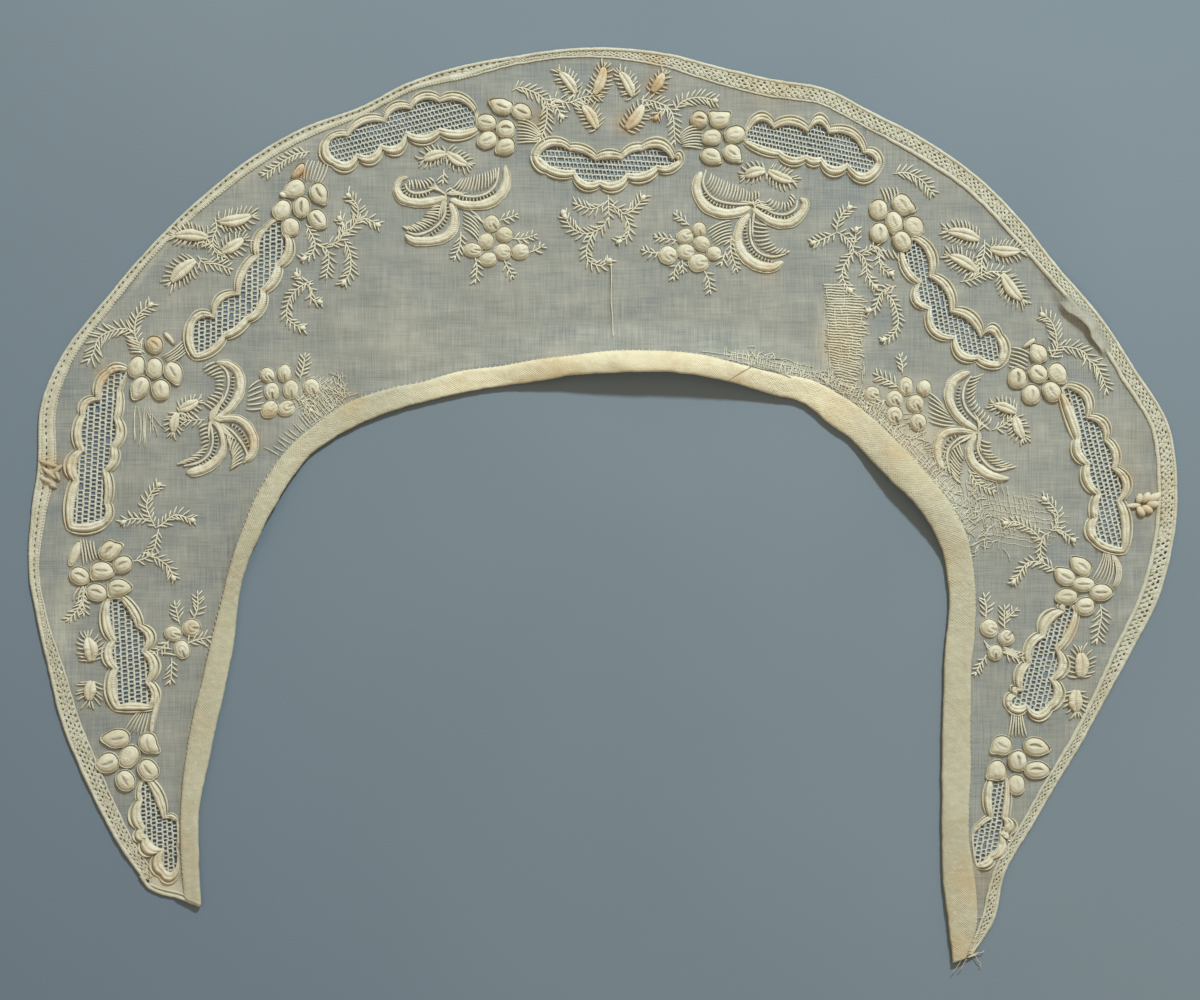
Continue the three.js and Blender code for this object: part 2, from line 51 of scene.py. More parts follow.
# --------------------------------------------------------------- tables ------
# neck edge, tape width, lace width, outer edge
SECTIONS = np.array([
    [201, 905, 17, 12, 144, 880], [199, 855, 17, 14, 119, 845], [199, 810, 17, 16, 98, 806],
    [208, 765, 22, 17, 78, 763], [217, 723, 24, 17, 61, 720], [226, 683, 23, 15, 49, 671],
    [234, 642, 22, 10, 38, 623], [238, 603, 16, 9, 29, 570], [247, 566, 15, 13, 31, 518],
    [262, 532, 18, 17, 38, 463], [277, 503, 21, 15, 41, 405], [294, 475, 21, 11, 64, 352],
    [311, 454, 20, 9, 104, 301], [329, 441, 21, 8, 149, 248], [349, 429, 23, 9, 197, 201],
    [373, 418, 23, 10, 248, 160], [401, 408, 21, 10, 301, 129], [430, 400, 19, 8, 360, 107],
    [463, 392, 20, 8, 410, 82], [500, 386, 19, 12, 461, 66], [536, 381, 20, 8, 515, 56],
    [576, 375, 19, 8, 567, 49], [615, 373, 21, 10, 617, 48], [655, 372, 20, 13, 669, 54],
    [695, 375, 20, 16, 720, 67], [733, 383, 19, 17, 771, 79], [768, 393, 20, 16, 824, 88],
    [804, 403, 23, 16, 872, 112], [830, 424, 30, 16, 924, 139], [852, 440, 30, 15, 977, 176],
    [870, 459, 31, 15, 1021, 220], [890, 480, 31, 12, 1060, 270], [911, 500, 28, 13, 1102, 319],
    [929, 524, 28, 14, 1135, 369], [942, 551, 28, 15, 1167, 421], [948, 581, 27, 17, 1177, 481],
    [949, 610, 27, 17, 1173, 542], [946, 640, 28, 16, 1157, 601], [944, 672, 26, 14, 1130, 654],
    [943, 711, 27, 10, 1104, 701], [942, 750, 28, 9, 1079, 747], [942, 792, 27, 10, 1053, 790],
    [942, 834, 26, 9, 1029, 831], [943, 877, 30, 10, 1005, 873], [948, 920, 28, 11, 994, 920],
    [953, 962, 13, 4, 972, 955]], float)
COL = dict(neckX=0, neckY=1, tape=2, lace=3, edgeX=4, edgeY=5)

# x y rx ry turn height
FOLDS = np.array([
    [655, 366, 200, 46, 2, 5.2], [915, 492, 95, 40, 50, 2.8], [258, 522, 95, 34, -60, 2.2],
    [1074, 300, 66, 20, 51, 1.7], [62, 660, 60, 16, 72, 1.0]], float)

# one scallop a row: x y bow band, clockwise in plan
WINDOWS = {
    '01': [[150, 782, -1, 11], [164, 818, 1, 6], [177, 821, .5, 3], [177, 848, .5, 3], [177, 870, 1, 12],
           [164, 871, 1, 13], [163, 850, 1, 15], [146, 838, 1, 12], [144, 828, 2, 13], [142, 800, 1, 6], [143, 782, 1, 4]],
    '02': [[122, 598, 0, 10], [138, 626, 6, 11], [143, 651, 5, 12], [147, 682, 3, 10], [150, 706, -4, 10],
           [119, 706, 2, 12], [117, 668, 4, 11], [115, 640, 2, 11], [110, 600, 0, 4]],
    '03': [[127, 371, -1, 4], [119, 390, -1, 9], [116, 418, 2, 11], [113, 447, 2, 10], [105, 471, 0, 10],
           [106, 503, 1, 9], [104, 521, 0, 11], [72, 525, 0, 11], [78, 481, 4, 13], [83, 450, 2, 10],
           [84, 416, 4, 9], [99, 399, 1, 10], [109, 374, 1, 9]],
    '04': [[284, 218, 1, 4], [287, 236, 3, 11], [277, 265, 1, 11], [262, 290, 4, 10], [246, 319, 0, 10],
           [224, 335, 2, 9], [196, 355, 1, 10], [194, 322, 2, 9], [214, 317, 6, 9], [239, 294, 3, 9],
           [258, 256, 2, 9], [266, 230, 1, 5]],
    '05': [[475, 113, 0, 4], [476, 129, 1, 11], [440, 130, 4, 11], [406, 133, 7, 11], [381, 146, 5, 11],
           [357, 155, 4, 11], [335, 161, 2, 11], [329, 141, 1, 7], [348, 135, 5, 9], [385, 121, 5, 9],
           [411, 108, 5, 9], [440, 101, 6, 9]],
    '06': [[537, 156, 6, 10], [570, 149, 1, 9], [596, 159, 0, 10], [622, 158, 1, 9], [642, 149, 6, 11],
           [673, 159, 1, 9], [679, 161, 1, 9], [657, 167, 2, 11], [627, 175, 4, 11], [600, 182, 5, 10],
           [574, 172, 0, 10], [549, 168, -2, 12]],
    '07': [[745, 140, 0, 4], [749, 127, 6, 10], [774, 127, 4, 10], [808, 131, 8, 11], [829, 132, 7, 9],
           [864, 152, 1, 9], [878, 163, 9, 11], [847, 165, 5, 11], [821, 159, 0, 10], [806, 157, 3, 10],
           [779, 152, 0, 9]],
    '08': [[903, 250, 0, 4], [914, 238, 5, 10], [930, 276, 5, 10], [951, 311, 4, 11], [981, 337, 5, 10],
           [998, 338, 1, 11], [998, 363, 0, 9], [978, 357, 6, 10], [955, 337, 9, 9], [930, 308, 7, 9],
           [920, 282, 3, 9]],
    '09': [[1062, 392, 0, 4], [1068, 386, 6, 10], [1087, 417, 5, 10], [1105, 440, 3, 9], [1113, 468, 7, 10],
           [1118, 501, 1, 11], [1122, 549, 0, 9], [1096, 539, 1, 12], [1096, 518, 0, 10], [1099, 494, 3, 11],
           [1088, 463, 3, 11], [1079, 437, -4, 12]],
    '10': [[1065, 605, 1, 4], [1075, 610, 1, 9], [1056, 649, 5, 12], [1051, 679, 4, 12], [1048, 706, 6, 10],
           [1026, 705, 0, 10], [1011, 706, 1, 9], [1015, 695, 1, 10], [1021, 690, 2, 11], [1029, 663, 4, 10],
           [1043, 636, 2, 14], [1064, 611, 0, 8]],
    '11': [[992, 780, 0, 4], [1006, 779, -1, 8], [1003, 817, 1, 13], [1004, 831, 0, 12], [1000, 833, 3, 12],
           [990, 856, 0, 10], [977, 864, 1, 3], [973, 833, 0, 6], [991, 817, 0, 10]],
}
# how each window's net lies: direction of its cords, cord pitch, bar pitch, slant
# of the bars, how irregular it is, and the radii of cords and bars
NETS = {
    '01': (88, 5.2, 4.3, .4, .6, 1.1, .95), '02': (87, 6.0, 4.3, .3, .3, 1.25, .9), '03': (93, 6.1, 4.3, .3, .25, 1.25, .9),
    '04': (91, 5.8, 4.3, .3, .3, 1.2, .9), '05': (-14, 4.9, 3.9, .4, .3, .86, .66), '06': (3, 5.4, 3.85, .7, .3, .92, .66),
    '07': (12, 4.6, 3.6, .4, .3, .84, .63), '08': (80, 4.8, 4.15, .4, .35, .90, .74), '09': (76, 5.2, 4.4, .5, .35, 1.12, .9),
    '10': (-76, 5.1, 4.4, .5, .45, 1.1, .95), '11': (-80, 5.1, 4.4, .5, .5, 1.1, .95),
}

# large berries: x y rx ry turn slit
BERRIES = {
    '01': [[118, 738, 12.5, 9.6, -8, .7], [148.5, 742.5, 10.4, 9.2, 84, .5], [129.5, 756, 12.2, 9.6, -60, .1],
           [148.5, 769.5, 11.4, 9.8, 50, .7], [126, 780, 11, 9.6, 60, .7], [108.5, 762.5, 11.4, 10, -20, .9]],
    '02': [[109.5, 550.5, 10.6, 9.2, -45, .9], [123.5, 564, 9.8, 8.4, -25, .8], [102.5, 570, 11.6, 9, 5, .7],
           [119, 587, 11.2, 8.6, 2, .9], [97, 592, 10.8, 8.8, 18, .8], [80.5, 575.5, 10.2, 8.8, 22, .9]],
    '03': [[155, 344.5, 8.9, 8.6, 40, .5], [137, 366.5, 11.2, 8.2, -70, .3], [155, 367.8, 10.2, 8.6, 90, .1],
           [173.5, 371.5, 10.6, 9.2, 62, .7], [161.5, 389.5, 10.6, 9.2, 80, .5], [141, 386.8, 11.2, 9, -62, .6]],
    '04': [[299, 171, 9, 4.2, -52, .5], [296, 188.5, 10.2, 9.2, -25, .3], [319, 192.8, 10.2, 9, 62, .9],
           [302, 207, 10.6, 8.8, 92, 1.2], [317.8, 219, 10.6, 8.8, 52, .9], [291, 227, 9.6, 9.2, 80, .2],
           [282.5, 210, 10.6, 8.8, -60, .3]],
    '05': [[522, 112, 10.6, 8.2, 25, .9], [502, 106.8, 10.2, 8, 20, .8], [506, 128.8, 9.8, 9.6, 2, 1.2],
           [506, 146.5, 9.8, 8.6, -14, .5], [487.5, 140, 10.2, 8.8, -25, .6], [486.5, 122.5, 10.4, 8.6, 12, .7]],
    '06': [[699.5, 119.5, 8.9, 8.6, 5, .9], [719.5, 119.8, 9.8, 8.6, -4, .6], [735, 134.5, 10.6, 8.6, -10, .3],
           [712, 137, 10.2, 8.2, 0, .4], [732, 153, 9.6, 8.8, 35, .5], [711, 156, 10.4, 8.4, 18, .6]],
    '07': [[902, 204.5, 11.2, 9.4, 52, .6], [914, 226.5, 10.8, 9.4, 48, .3], [894, 221.3, 10.4, 8.4, 68, .5],
           [878.8, 209.2, 10.2, 9.2, 88, .6], [879, 232.8, 10.2, 9.2, 88, .7], [902, 241, 10.8, 9, 62, .6]],
    '08': [[1038.5, 353.8, 9.4, 8.8, 70, .3], [1057, 373, 11.2, 9.4, 55, .3], [1038, 373.3, 10.2, 9, 42, .7],
           [1017, 377.8, 10.6, 9.6, 88, 1.2], [1031, 394.2, 9.8, 9.4, 88, .5], [1051.5, 391.3, 10.8, 9, 58, .5]],
    '09': [[1081.5, 566.5, 11, 8.6, 36, .7], [1065.5, 576.5, 10.8, 8.6, 25, .6], [1083, 583.8, 12, 7.4, 0, .6],
           [1100.5, 592, 10.8, 8.8, 2, .8], [1085, 606, 10.2, 9.2, -2, .7], [1066.5, 596, 11.2, 8, 0, .5]],
    '10': [[1001.5, 744.5, 10.4, 9.6, 30, .5], [1017.5, 760.3, 10.4, 9.6, 82, .9], [1035, 746, 12, 9, 9, 1.],
           [1036, 769.5, 12.2, 9, 1, .9], [1016, 784, 10.4, 8.8, 84, .3], [996.8, 769.8, 10.4, 9.6, 80, .1]],
}
# short pointed nubs on some of them: x y turn
NUBS = {'01': [[102, 738, 185], [159.5, 751, 40], [97, 765, 165]],
        '02': [[122.5, 545, -25], [114, 573, 20], [132, 587, 0], [110.5, 596, 25], [93.5, 579, 25]],
        '03': [[178.5, 384, 55], [134, 398.5, 130]], '04': [[283, 195, 170], [325.5, 204, 30], [285, 235, 140], [325, 226, 30]],
        '05': [[497, 152, 160], [512, 104, -150], [490, 101, -150]], '06': [[710, 112, -100], [730, 113, -70], [721, 162, 30], [741, 161, 30]],
        '07': [[915.5, 209, 5], [893, 233, 160]], '08': [[1032, 344, -140], [1064, 382, 40]],
        '09': [[1072, 557, -130], [1056, 568, -150], [1112, 592, 0], [1056, 599, 170]],
        '10': [[991, 752, 150], [1049, 749.5, 10], [1049.5, 770, 0], [987, 777, 160]]}
# small round berries: x y rx ry turn slit
BUNCHES = {
    '01': [[173.5, 633, 8.8, 7.6, 20, .9], [192, 627.5, 9.2, 8.8, 10, .9], [182.5, 649, 9.4, 7.8, 75, .9]],
    '02': [[268, 375, 8.4, 7.2, 50, .9], [285, 373, 9, 6.8, 92, .6], [291.5, 389, 9.6, 7.8, 88, .7],
           [312, 387.2, 9, 8.2, 72, .9], [287, 407.8, 9.2, 7.8, -22, .9], [270, 409, 9.4, 8, -42, .5], [272.5, 391, 9, 7.8, 88, 1.]],
    '03': [[492, 223.3, 8.6, 8.2, 55, .8], [505, 234.3, 8.2, 8, 10, .4], [520.5, 251.3, 9.2, 8.2, -8, .5],
           [503, 251.6, 8.8, 8.2, 10, .6], [488.5, 259.3, 8.8, 7.2, -12, .3], [472.8, 250, 9.6, 7.2, 8, .9], [486.5, 241, 8.4, 7.6, -50, .3]],
    '04': [[699, 229.3, 7.4, 7.2, 80, .5], [685, 236, 8.8, 7.8, -20, .6], [668, 254.8, 9.4, 9.2, 30, .8],
           [685.5, 251.6, 9.2, 8, 10, .6], [698.5, 262.5, 10.4, 9.2, -4, .7], [714, 253, 8, 7.2, 10, .2], [702, 243.3, 8.6, 7.6, 30, .3]],
    '05': [[905.5, 385.8, 9.6, 7.6, 88, .8], [924, 387.7, 8.2, 7.2, 88, .3], [915.5, 403.5, 9, 8.6, 60, .9],
           [918, 421.8, 8.8, 8.4, 70, .9], [894.3, 415.3, 9.4, 8.8, 72, 1.3], [894.3, 398.5, 8.8, 8.6, 60, 1.1], [872, 394, 8.2, 8, 20, .9]],
    '06': [[989, 627.6, 9.2, 9, 20, .7], [1006, 637, 8.2, 8, -35, 1.2], [994.8, 652, 8, 7.6, 85, .9]],
}
# open fans of stitches: first and last root, first and last tip, count, bow of
# the first and the last
FANS = {
    '01': [[126, 730, 144, 736, 139, 711, 149, 713, 6, -.8, .4]],
    '02': [[84, 566, 98, 559, 80, 538, 94, 541, 5, 1, -1], [80, 587, 86, 586, 73, 601, 84, 605, 3, 1, 1]],
    '03': [[162, 357, 168, 363, 183, 341, 186, 352, 5, 1.5, 1.5], [143, 344, 143, 353, 125, 335, 130, 353, 5, -1, 1]],
    '04': [[304, 181, 320, 184, 309, 160, 328, 163, 7, -1.5, 1.5]],
    '05': [[516, 119, 517, 144, 542, 135, 539, 142, 8, -4.5, -.8]],
    '06': [[703, 126, 703, 149, 678, 138, 682, 147, 8, 4.5, .8]],
    '07': [[886, 203, 897, 200, 880, 188, 896, 187, 5, 1, 1], [870, 245, 893, 250, 878, 256, 900, 262, 5, -1, 1]],
    '08': [[1030, 354, 1026, 374, 1011, 348, 1008, 366, 6, 1.5, 1], [1046, 350, 1049, 356, 1058, 350, 1062, 356, 2, 1, 1]],
    '09': [[1091, 580, 1107, 586, 1104, 551, 1110, 552, 6, 1.5, 4.], [1111, 588, 1115, 589, 1111, 553, 1112.6, 554, 4, 5., 7.]],
    '10': [[1007, 737, 1027, 737, 1012, 711, 1021, 712, 6, .8, -.8]],
}
# threads that run from a plume or window to the berries beside it, as above
LINKS = [
    [262, 380, 265, 408, 248, 389, 246, 409, 6, 1, -1], [480, 226, 479, 241, 463, 212, 463, 228, 5, 2, 2],
    [482, 221, 484, 224, 470, 211, 473, 216, 2, 1, 1], [706, 232, 716, 247, 731, 220, 733, 240, 7, -2, -2],
    [928, 392, 928, 421, 945, 409, 956, 426, 7, -1.5, 1.5], [168, 643, 177, 656, 159, 644, 160, 653, 3, 1, 1],
    [1003, 646, 1002, 652, 1020, 652, 1018, 660, 5, 1, -1], [983, 640, 985, 644, 992, 648, 993, 652, 2, 1, 1],
]

# plumes: padded band, row of holes, inner cord, and the fringe from its base line
# to its tips. The band's rows are x y half-width.
PLUMES = {
    '01': [
        dict(band=[[213, 421, 3], [228, 411, 4], [238, 398, 5.6], [241.5, 384, 5.8], [238, 371, 5.6], [228, 363.5, 4.4], [216, 362, 2.6]],
             holes=[[233, 376], [233, 385], [231.5, 393], [227, 402], [218, 411]], cord=[[219, 364], [226.5, 371], [229, 381], [227.5, 391], [223, 401], [213, 413]],
             fringe=([[216, 362], [223, 368], [225, 379], [224, 390], [221, 400], [213, 410]], [[203, 369], [207, 375], [215, 379], [215, 390], [211, 394], [204, 404]], 15)),
        dict(band=[[214, 421, 3], [221, 430, 4], [224, 443, 4], [221, 456, 5], [209, 467, 6.4], [196, 472, 5.8], [187, 473, 3.6]],
             holes=[[214, 432], [217, 438], [216, 447], [213, 455], [206, 463], [199, 467]], cord=[[211, 423], [213, 436], [212.5, 446], [208, 456], [198, 463], [184, 466]],
             fringe=([[208, 424], [210, 434], [209.5, 444], [206, 453], [199, 459], [188, 463]], [[199, 428], [201, 440], [200, 450], [189, 458], [182, 461], [177, 465]], 15)),
        dict(band=[[214, 420, 3], [226, 418, 4.4], [239, 419, 5], [249, 427, 5.4], [254.5, 440, 5.6], [253, 453, 5.2], [245, 462, 3.4]],
             holes=[[231, 425], [237, 428], [242, 433], [246, 440], [249, 448]], cord=[[222, 424], [232, 431], [239, 439], [245, 448], [248, 458], [244, 463]],
             fringe=([[228, 431], [235, 438], [241, 446], [244, 454], [243, 462]], [[231, 447], [231, 453], [233, 458], [231, 463], [230, 470]], 12)),
    ],
    '02': [
        dict(band=[[447, 198, 4], [434, 202, 5.4], [418, 203.5, 5.6], [403, 200, 5.8], [396.5, 190, 4.8], [400, 180, 4], [408, 177, 2.4]],
             holes=[[431, 192], [423, 195.5], [413, 197], [405, 193.5], [403, 187]], cord=[[436, 188], [426, 192], [415, 193.5], [408, 190], [405.5, 184]],
             fringe=([[409, 190], [416, 190], [424, 190], [431, 187], [435, 183]], [[409, 181], [413, 179], [419, 180], [425, 180], [429, 178]], 9)),
        dict(band=[[450, 200, 4], [462, 205, 5], [476, 206, 5.8], [491, 203, 6.4], [502, 194, 6.2], [507, 181, 5.6], [505.5, 166, 3.6]],
             holes=[[458, 197.5], [467, 200], [478, 200], [487, 197], [495, 192]], cord=[[450, 188], [460, 195], [475, 197], [488, 193], [496, 184], [499, 168]],
             fringe=([[452, 189], [460, 192], [470, 193], [480, 191.5], [489, 188], [495, 180]], [[461, 179], [470, 177], [479, 175], [484, 173], [490, 171], [495, 168]], 17)),
        dict(band=[[451, 203, 4], [455, 216, 5.2], [453.5, 229, 6], [444, 238.5, 6], [428, 242, 5.6], [413, 241, 5.2], [405, 235, 3]],
             holes=[[448, 206], [448.5, 215], [445, 222], [439, 229], [431, 235]], cord=[[446, 202], [445, 214], [440, 223], [430, 231], [417, 235], [407, 232]],
             fringe=([[444, 206], [443, 214], [438, 221], [430, 228], [419, 232], [409, 231]], [[431, 209], [425, 214], [422, 219], [414, 223], [408, 226], [402, 227]], 17)),
    ],
    '03': [
        dict(band=[[751, 208, 4], [738, 213, 6], [722, 214, 6.4], [707, 208.5, 6.6], [698, 197, 6.2], [696, 184, 5.6], [701, 172, 4]],
             holes=[[704, 192], [708, 199], [716, 205], [725, 207.5], [735, 208.5]], cord=[[706, 170], [703, 183], [708, 194], [718, 201], [732, 204], [746, 204], [757, 203]],
             fringe=([[706, 186], [714, 196], [725, 200.5], [737, 202], [748, 202], [758, 200]], [[711, 174], [719, 178], [728, 182], [738, 186], [748, 191], [758, 191]], 21)),
        dict(band=[[752, 209, 4], [762, 217, 5], [776, 223.5, 6], [791, 223, 6], [802, 214, 5.6], [805.5, 203, 4.8], [800, 198, 2.6]],
             holes=[[761, 209], [768, 215], [778, 218.5], [788, 218.5], [796, 215.5]], cord=[[758, 200], [765, 208.5], [775, 214], [786, 214.5], [795, 209], [797, 201]],
             fringe=([[765, 203], [770, 208], [778, 211], [786, 211], [793, 206], [795, 200]], [[771, 199], [777, 201], [784, 202], [788, 201], [789, 197], [790, 194]], 12)),
        dict(band=[[749, 214, 4], [740, 226, 5.4], [737, 241, 6.2], [743, 256, 6.6], [757, 266, 6.8], [772, 268, 6], [783, 262, 3.4]],
             holes=[[745, 222], [745, 232], [747, 243], [753, 253], [762, 259], [773, 263]], cord=[[750, 219], [750, 235], [753, 246], [761, 254], [773, 257], [786, 254]],
             fringe=([[752, 221], [752, 233], [756, 244], [764, 251], [774, 254], [785, 253]], [[767, 226], [770, 237], [774, 244], [778, 248], [784, 249], [789, 250]], 14)),
    ],
    '04': [
        dict(band=[[977, 431, 3.6], [962, 421, 5], [952, 409, 5.4], [948, 395, 6], [952, 382, 6.4], [961, 375, 5.6], [970, 372, 3]],
             holes=[[959, 387], [957.5, 395], [958, 403], [961, 411], [967, 419]], cord=[[971, 376], [965, 385], [962.5, 396], [965, 407], [973, 417], [989, 430]],
             fringe=([[969, 378], [966, 387], [965, 398], [969, 408], [977, 417], [987, 425]], [[983, 374], [976, 386], [975, 396], [976, 402], [983, 410], [991, 418]], 17)),
        dict(band=[[974, 432, 3.6], [958, 430, 4.6], [944, 433, 5.6], [937.5, 443, 5.6], [937, 457, 5], [943, 470, 3.2]],
             holes=[[957, 436], [950, 439], [945.5, 446], [943, 454]], cord=[[970, 434], [957, 440], [948.5, 449], [946.5, 460], [950, 474]],
             fringe=([[958, 442], [952, 449], [950, 457], [950, 466], [952, 475]], [[964, 457], [962, 465], [961, 472], [960, 480], [962, 484]], 12)),
        dict(band=[[975, 434, 3.6], [969, 447, 5], [971, 461, 5.8], [982, 472, 6.2], [996, 478, 5.2], [1009, 479, 2.8]],
             holes=[[974.5, 451], [976, 457], [980, 463]], cord=[[978, 437], [977.5, 450], [984, 462], [996, 470], [1014, 467]],
             fringe=([[980, 440], [980, 449], [985, 458], [993, 465], [1003, 468]], [[991, 443], [993, 452], [998, 457], [1006, 461], [1016, 466]], 12)),
    ],
}

# feather-stitched sprigs: knot at the end or not, stitch length, then the points
FERNS = [
    (0, 7, (608, 195), (609, 217)), (0, 8, (604, 203), (597, 208), (590, 209), (578, 205)),
    (1, 8, (609, 207), (618, 209), (624, 214), (633, 210), (643, 198)), (1, 7, (625, 216), (629, 226), (627, 237), (619, 242)),
    (1, 8, (609, 218), (600, 229), (585, 234), (572, 228), (565, 217)), (1, 7, (594, 232), (587, 247), (588, 260), (600, 266), (609, 261)),
    (1, 7, (306, 224), (315, 242), (312, 254), (304, 259)), (0, 8, (318, 244), (327, 250), (329, 260), (327, 274)),
    (1, 8, (327, 246), (338, 242), (343, 235), (352, 228), (357, 220), (358, 208), (353, 200), (349, 196)),
    (1, 7, (340, 240), (345, 228), (340, 219)), (1, 7, (356, 222), (366, 219), (378, 225)),
    (1, 8, (344, 240), (350, 252), (351, 262), (350, 273), (344, 283)),
    (1, 7, (313, 281), (305, 284), (297, 290), (290, 299), (287, 310), (288, 319), (297, 326), (303, 328)),
    (1, 6, (306, 284), (312, 290), (311, 299), (320, 302)), (1, 6, (303, 281), (297, 275)),
    (1, 7, (836, 232), (838, 222), (843, 213), (849, 208)), (1, 7, (836, 233), (826, 238), (813, 243)),
    (1, 7, (836, 232), (843, 236), (850, 243), (853, 252), (846, 262), (842, 272), (844, 282), (850, 291)),
    (1, 6, (853, 247), (855, 240), (856, 230)), (1, 7, (855, 252), (862, 256), (866, 264), (867, 275), (875, 287)),
    (1, 6, (862, 254), (870, 250), (876, 247), (880, 252), (879, 262), (884, 270), (891, 274)),
    (1, 6, (896, 286), (886, 289), (880, 295), (877, 303), (874, 310), (868, 311)),
    (1, 6, (884, 292), (892, 300), (896, 310), (898, 320), (896, 330), (889, 338), (883, 340)),
    (0, 8, (512, 91), (520, 88), (530, 91), (540, 96), (546, 104), (547, 116), (545, 128), (541, 138)),
    (1, 7, (546, 100), (553, 103), (558, 110), (562, 117)), (0, 8, (548, 110), (556, 100), (568, 103), (583, 98), (597, 96)),
    (0, 8, (640, 100), (650, 101), (660, 104), (668, 108), (673, 117), (674, 130), (675, 140)),
    (1, 7, (668, 108), (661, 111), (656, 118)), (1, 8, (675, 112), (680, 104), (690, 99), (702, 98), (715, 101)),
    (1, 7, (156, 528), (150, 516), (147, 505), (151, 494), (159, 485)), (1, 7, (150, 519), (140, 519), (131, 519), (124, 522)),
    (1, 7, (156, 528), (163, 524), (170, 518), (178, 515), (193, 520)), (0, 7, (159, 529), (157, 538), (155, 547), (151, 553)),
    (0, 7, (133, 561), (141, 560), (150, 556)), (1, 7, (150, 556), (157, 558), (163, 562), (169, 567), (174, 578)),
    (1, 7, (1050, 531), (1056, 524), (1057, 514), (1051, 505), (1044, 499)), (1, 7, (1051, 531), (1058, 530), (1064, 533), (1073, 540)),
    (0, 7, (1050, 532), (1043, 536), (1041, 542), (1040, 550), (1041, 558)),
    (1, 7, (1040, 540), (1034, 532), (1026, 527), (1016, 522), (1005, 523)),
    (1, 7, (1056, 571), (1048, 566), (1040, 562), (1030, 562), (1024, 566), (1019, 574), (1013, 582)),
    (1, 8, (145, 353), (140, 348), (137, 340), (135, 333), (136, 322), (138, 316), (143, 311), (151, 305)),
    (0, 10, (136, 332), (130, 330), (121, 329), (107, 333), (98, 340), (95, 350), (91, 359)),
    (1, 8, (1051, 359), (1053, 355), (1057, 347), (1056, 340), (1055, 332), (1052, 324), (1048, 319), (1042, 315)),
    (0, 9, (1057, 348), (1064, 347), (1072, 348), (1079, 350), (1085, 354), (1088, 360), (1095, 365), (1099, 372), (1103, 380), (1106, 388)),
    # sprigs beside the bunches, clusters and windows
    (0, 7, (84, 586), (82, 600), (77, 611), (70, 618)), (0, 7, (82, 598), (84, 606), (84, 612)),
    (0, 9, (1100, 604), (1101, 616), (1099, 626), (1097, 638)),
    (0, 8, (893, 174), (905, 173), (916, 177), (924, 183), (931, 192)), (0, 7, (310, 152), (298, 154), (286, 160), (275, 168), (266, 174)),
    (0, 7, (180, 624), (178, 616), (176, 606)), (0, 7, (194, 619), (198, 608), (198, 596)),
    (0, 7, (170, 640), (162, 648), (156, 652)), (0, 8, (186, 644), (196, 640), (206, 638)),
    (0, 7, (172, 658), (172, 668), (171, 680)),
    (0, 7, (300, 380), (303, 370), (305, 358)), (0, 6, (296, 399), (305, 402), (310, 408)),
    (0, 6, (498, 221), (506, 219), (514, 216)), (0, 6, (512, 239), (524, 239), (533, 236)), (0, 6, (529, 253), (536, 250), (541, 247)),
    (0, 6, (504, 260), (508, 268), (512, 275)), (0, 7, (475, 257), (477, 267), (476, 279)),
    (0, 6, (690, 226), (684, 221), (677, 216)), (0, 6, (678, 241), (667, 239), (658, 238)), (0, 6, (660, 253), (652, 253), (645, 251)),
    (0, 6, (680, 262), (675, 269), (674, 277)), (0, 7, (704, 271), (708, 279), (710, 290)), (0, 6, (682, 260), (683, 270)),
    (0, 8, (899, 388), (890, 382), (878, 376)), (0, 6, (902, 374), (902, 366), (900, 358)),
    (0, 6, (886, 400), (876, 404), (868, 408)),
    (0, 7, (985, 619), (986, 608), (984, 598)), (0, 7, (1004, 629), (1004, 620), (1004, 610)), (0, 6, (1004, 620), (1010, 615), (1014, 611)),
    (0, 7, (1002, 651), (1012, 655), (1020, 657)), (0, 6, (986, 655), (980, 664), (976, 672)),
    (0, 7, (461, 232), (460, 245), (456, 256)), (0, 7, (444, 170), (443, 180)),
    (0, 7, (731, 236), (731, 252), (736, 268)), (0, 7, (726, 250), (722, 262)),
    (0, 7, (215, 218), (217, 228), (213, 240), (216, 252), (222, 256)), (0, 8, (198, 256), (204, 263), (216, 264), (228, 268)),
    (0, 6, (216, 246), (207, 244), (200, 241)),
    (0, 8, (960, 282), (970, 280), (980, 276), (990, 272), (1001, 272)), (0, 8, (984, 240), (984, 252), (981, 262), (981, 272)),
    (0, 6, (989, 249), (996, 250)), (0, 7, (205, 420), (196, 420), (186, 420), (180, 412)),
    (0, 7, (992, 430), (1002, 426), (1012, 418)), (0, 6, (968, 470), (978, 484), (992, 490)),
]
# spiky leaves: x0 y0 x1 y1 half-width, stitch length
LEAVES = [
    (576, 94, 560, 73, 4.2, 7), (594, 95, 604, 68, 4.6, 7), (597, 129, 583, 106, 4.6, 7.5), (633, 97, 620, 73, 4.4, 7),
    (652, 92, 663, 74, 4.2, 6), (626, 129, 643, 106, 5, 7.5), (446, 154, 424, 160, 4.6, 7), (447, 153, 467, 165, 4.4, 7.5),
    (765, 171, 745, 176, 4.8, 7), (768, 171, 792, 181, 4.4, 7.5), (979, 240, 948, 232, 5, 8), (976, 271, 950, 256, 4.8, 8),
    (990, 249, 1019, 251, 4.8, 8), (1002, 274, 1021, 300, 5.2, 8.5), (220, 222, 251, 216, 5, 8), (222, 252, 243, 239, 5, 8),
    (208, 238, 176, 236, 5, 8), (196, 261, 172, 282, 5.6, 9), (180, 409, 198, 401, 4.4, 6.5), (178, 413, 174, 432, 4.2, 7),
    (1016, 413, 994, 405, 4.2, 7), (1015, 417, 1023, 438, 4.4, 7), (92, 661, 88, 638, 6.2, 8.5), (93, 681, 90, 700, 5.4, 9),
    (1080, 677, 1080, 653, 6.4, 8.5), (1076, 690, 1076, 711, 6, 8),
]

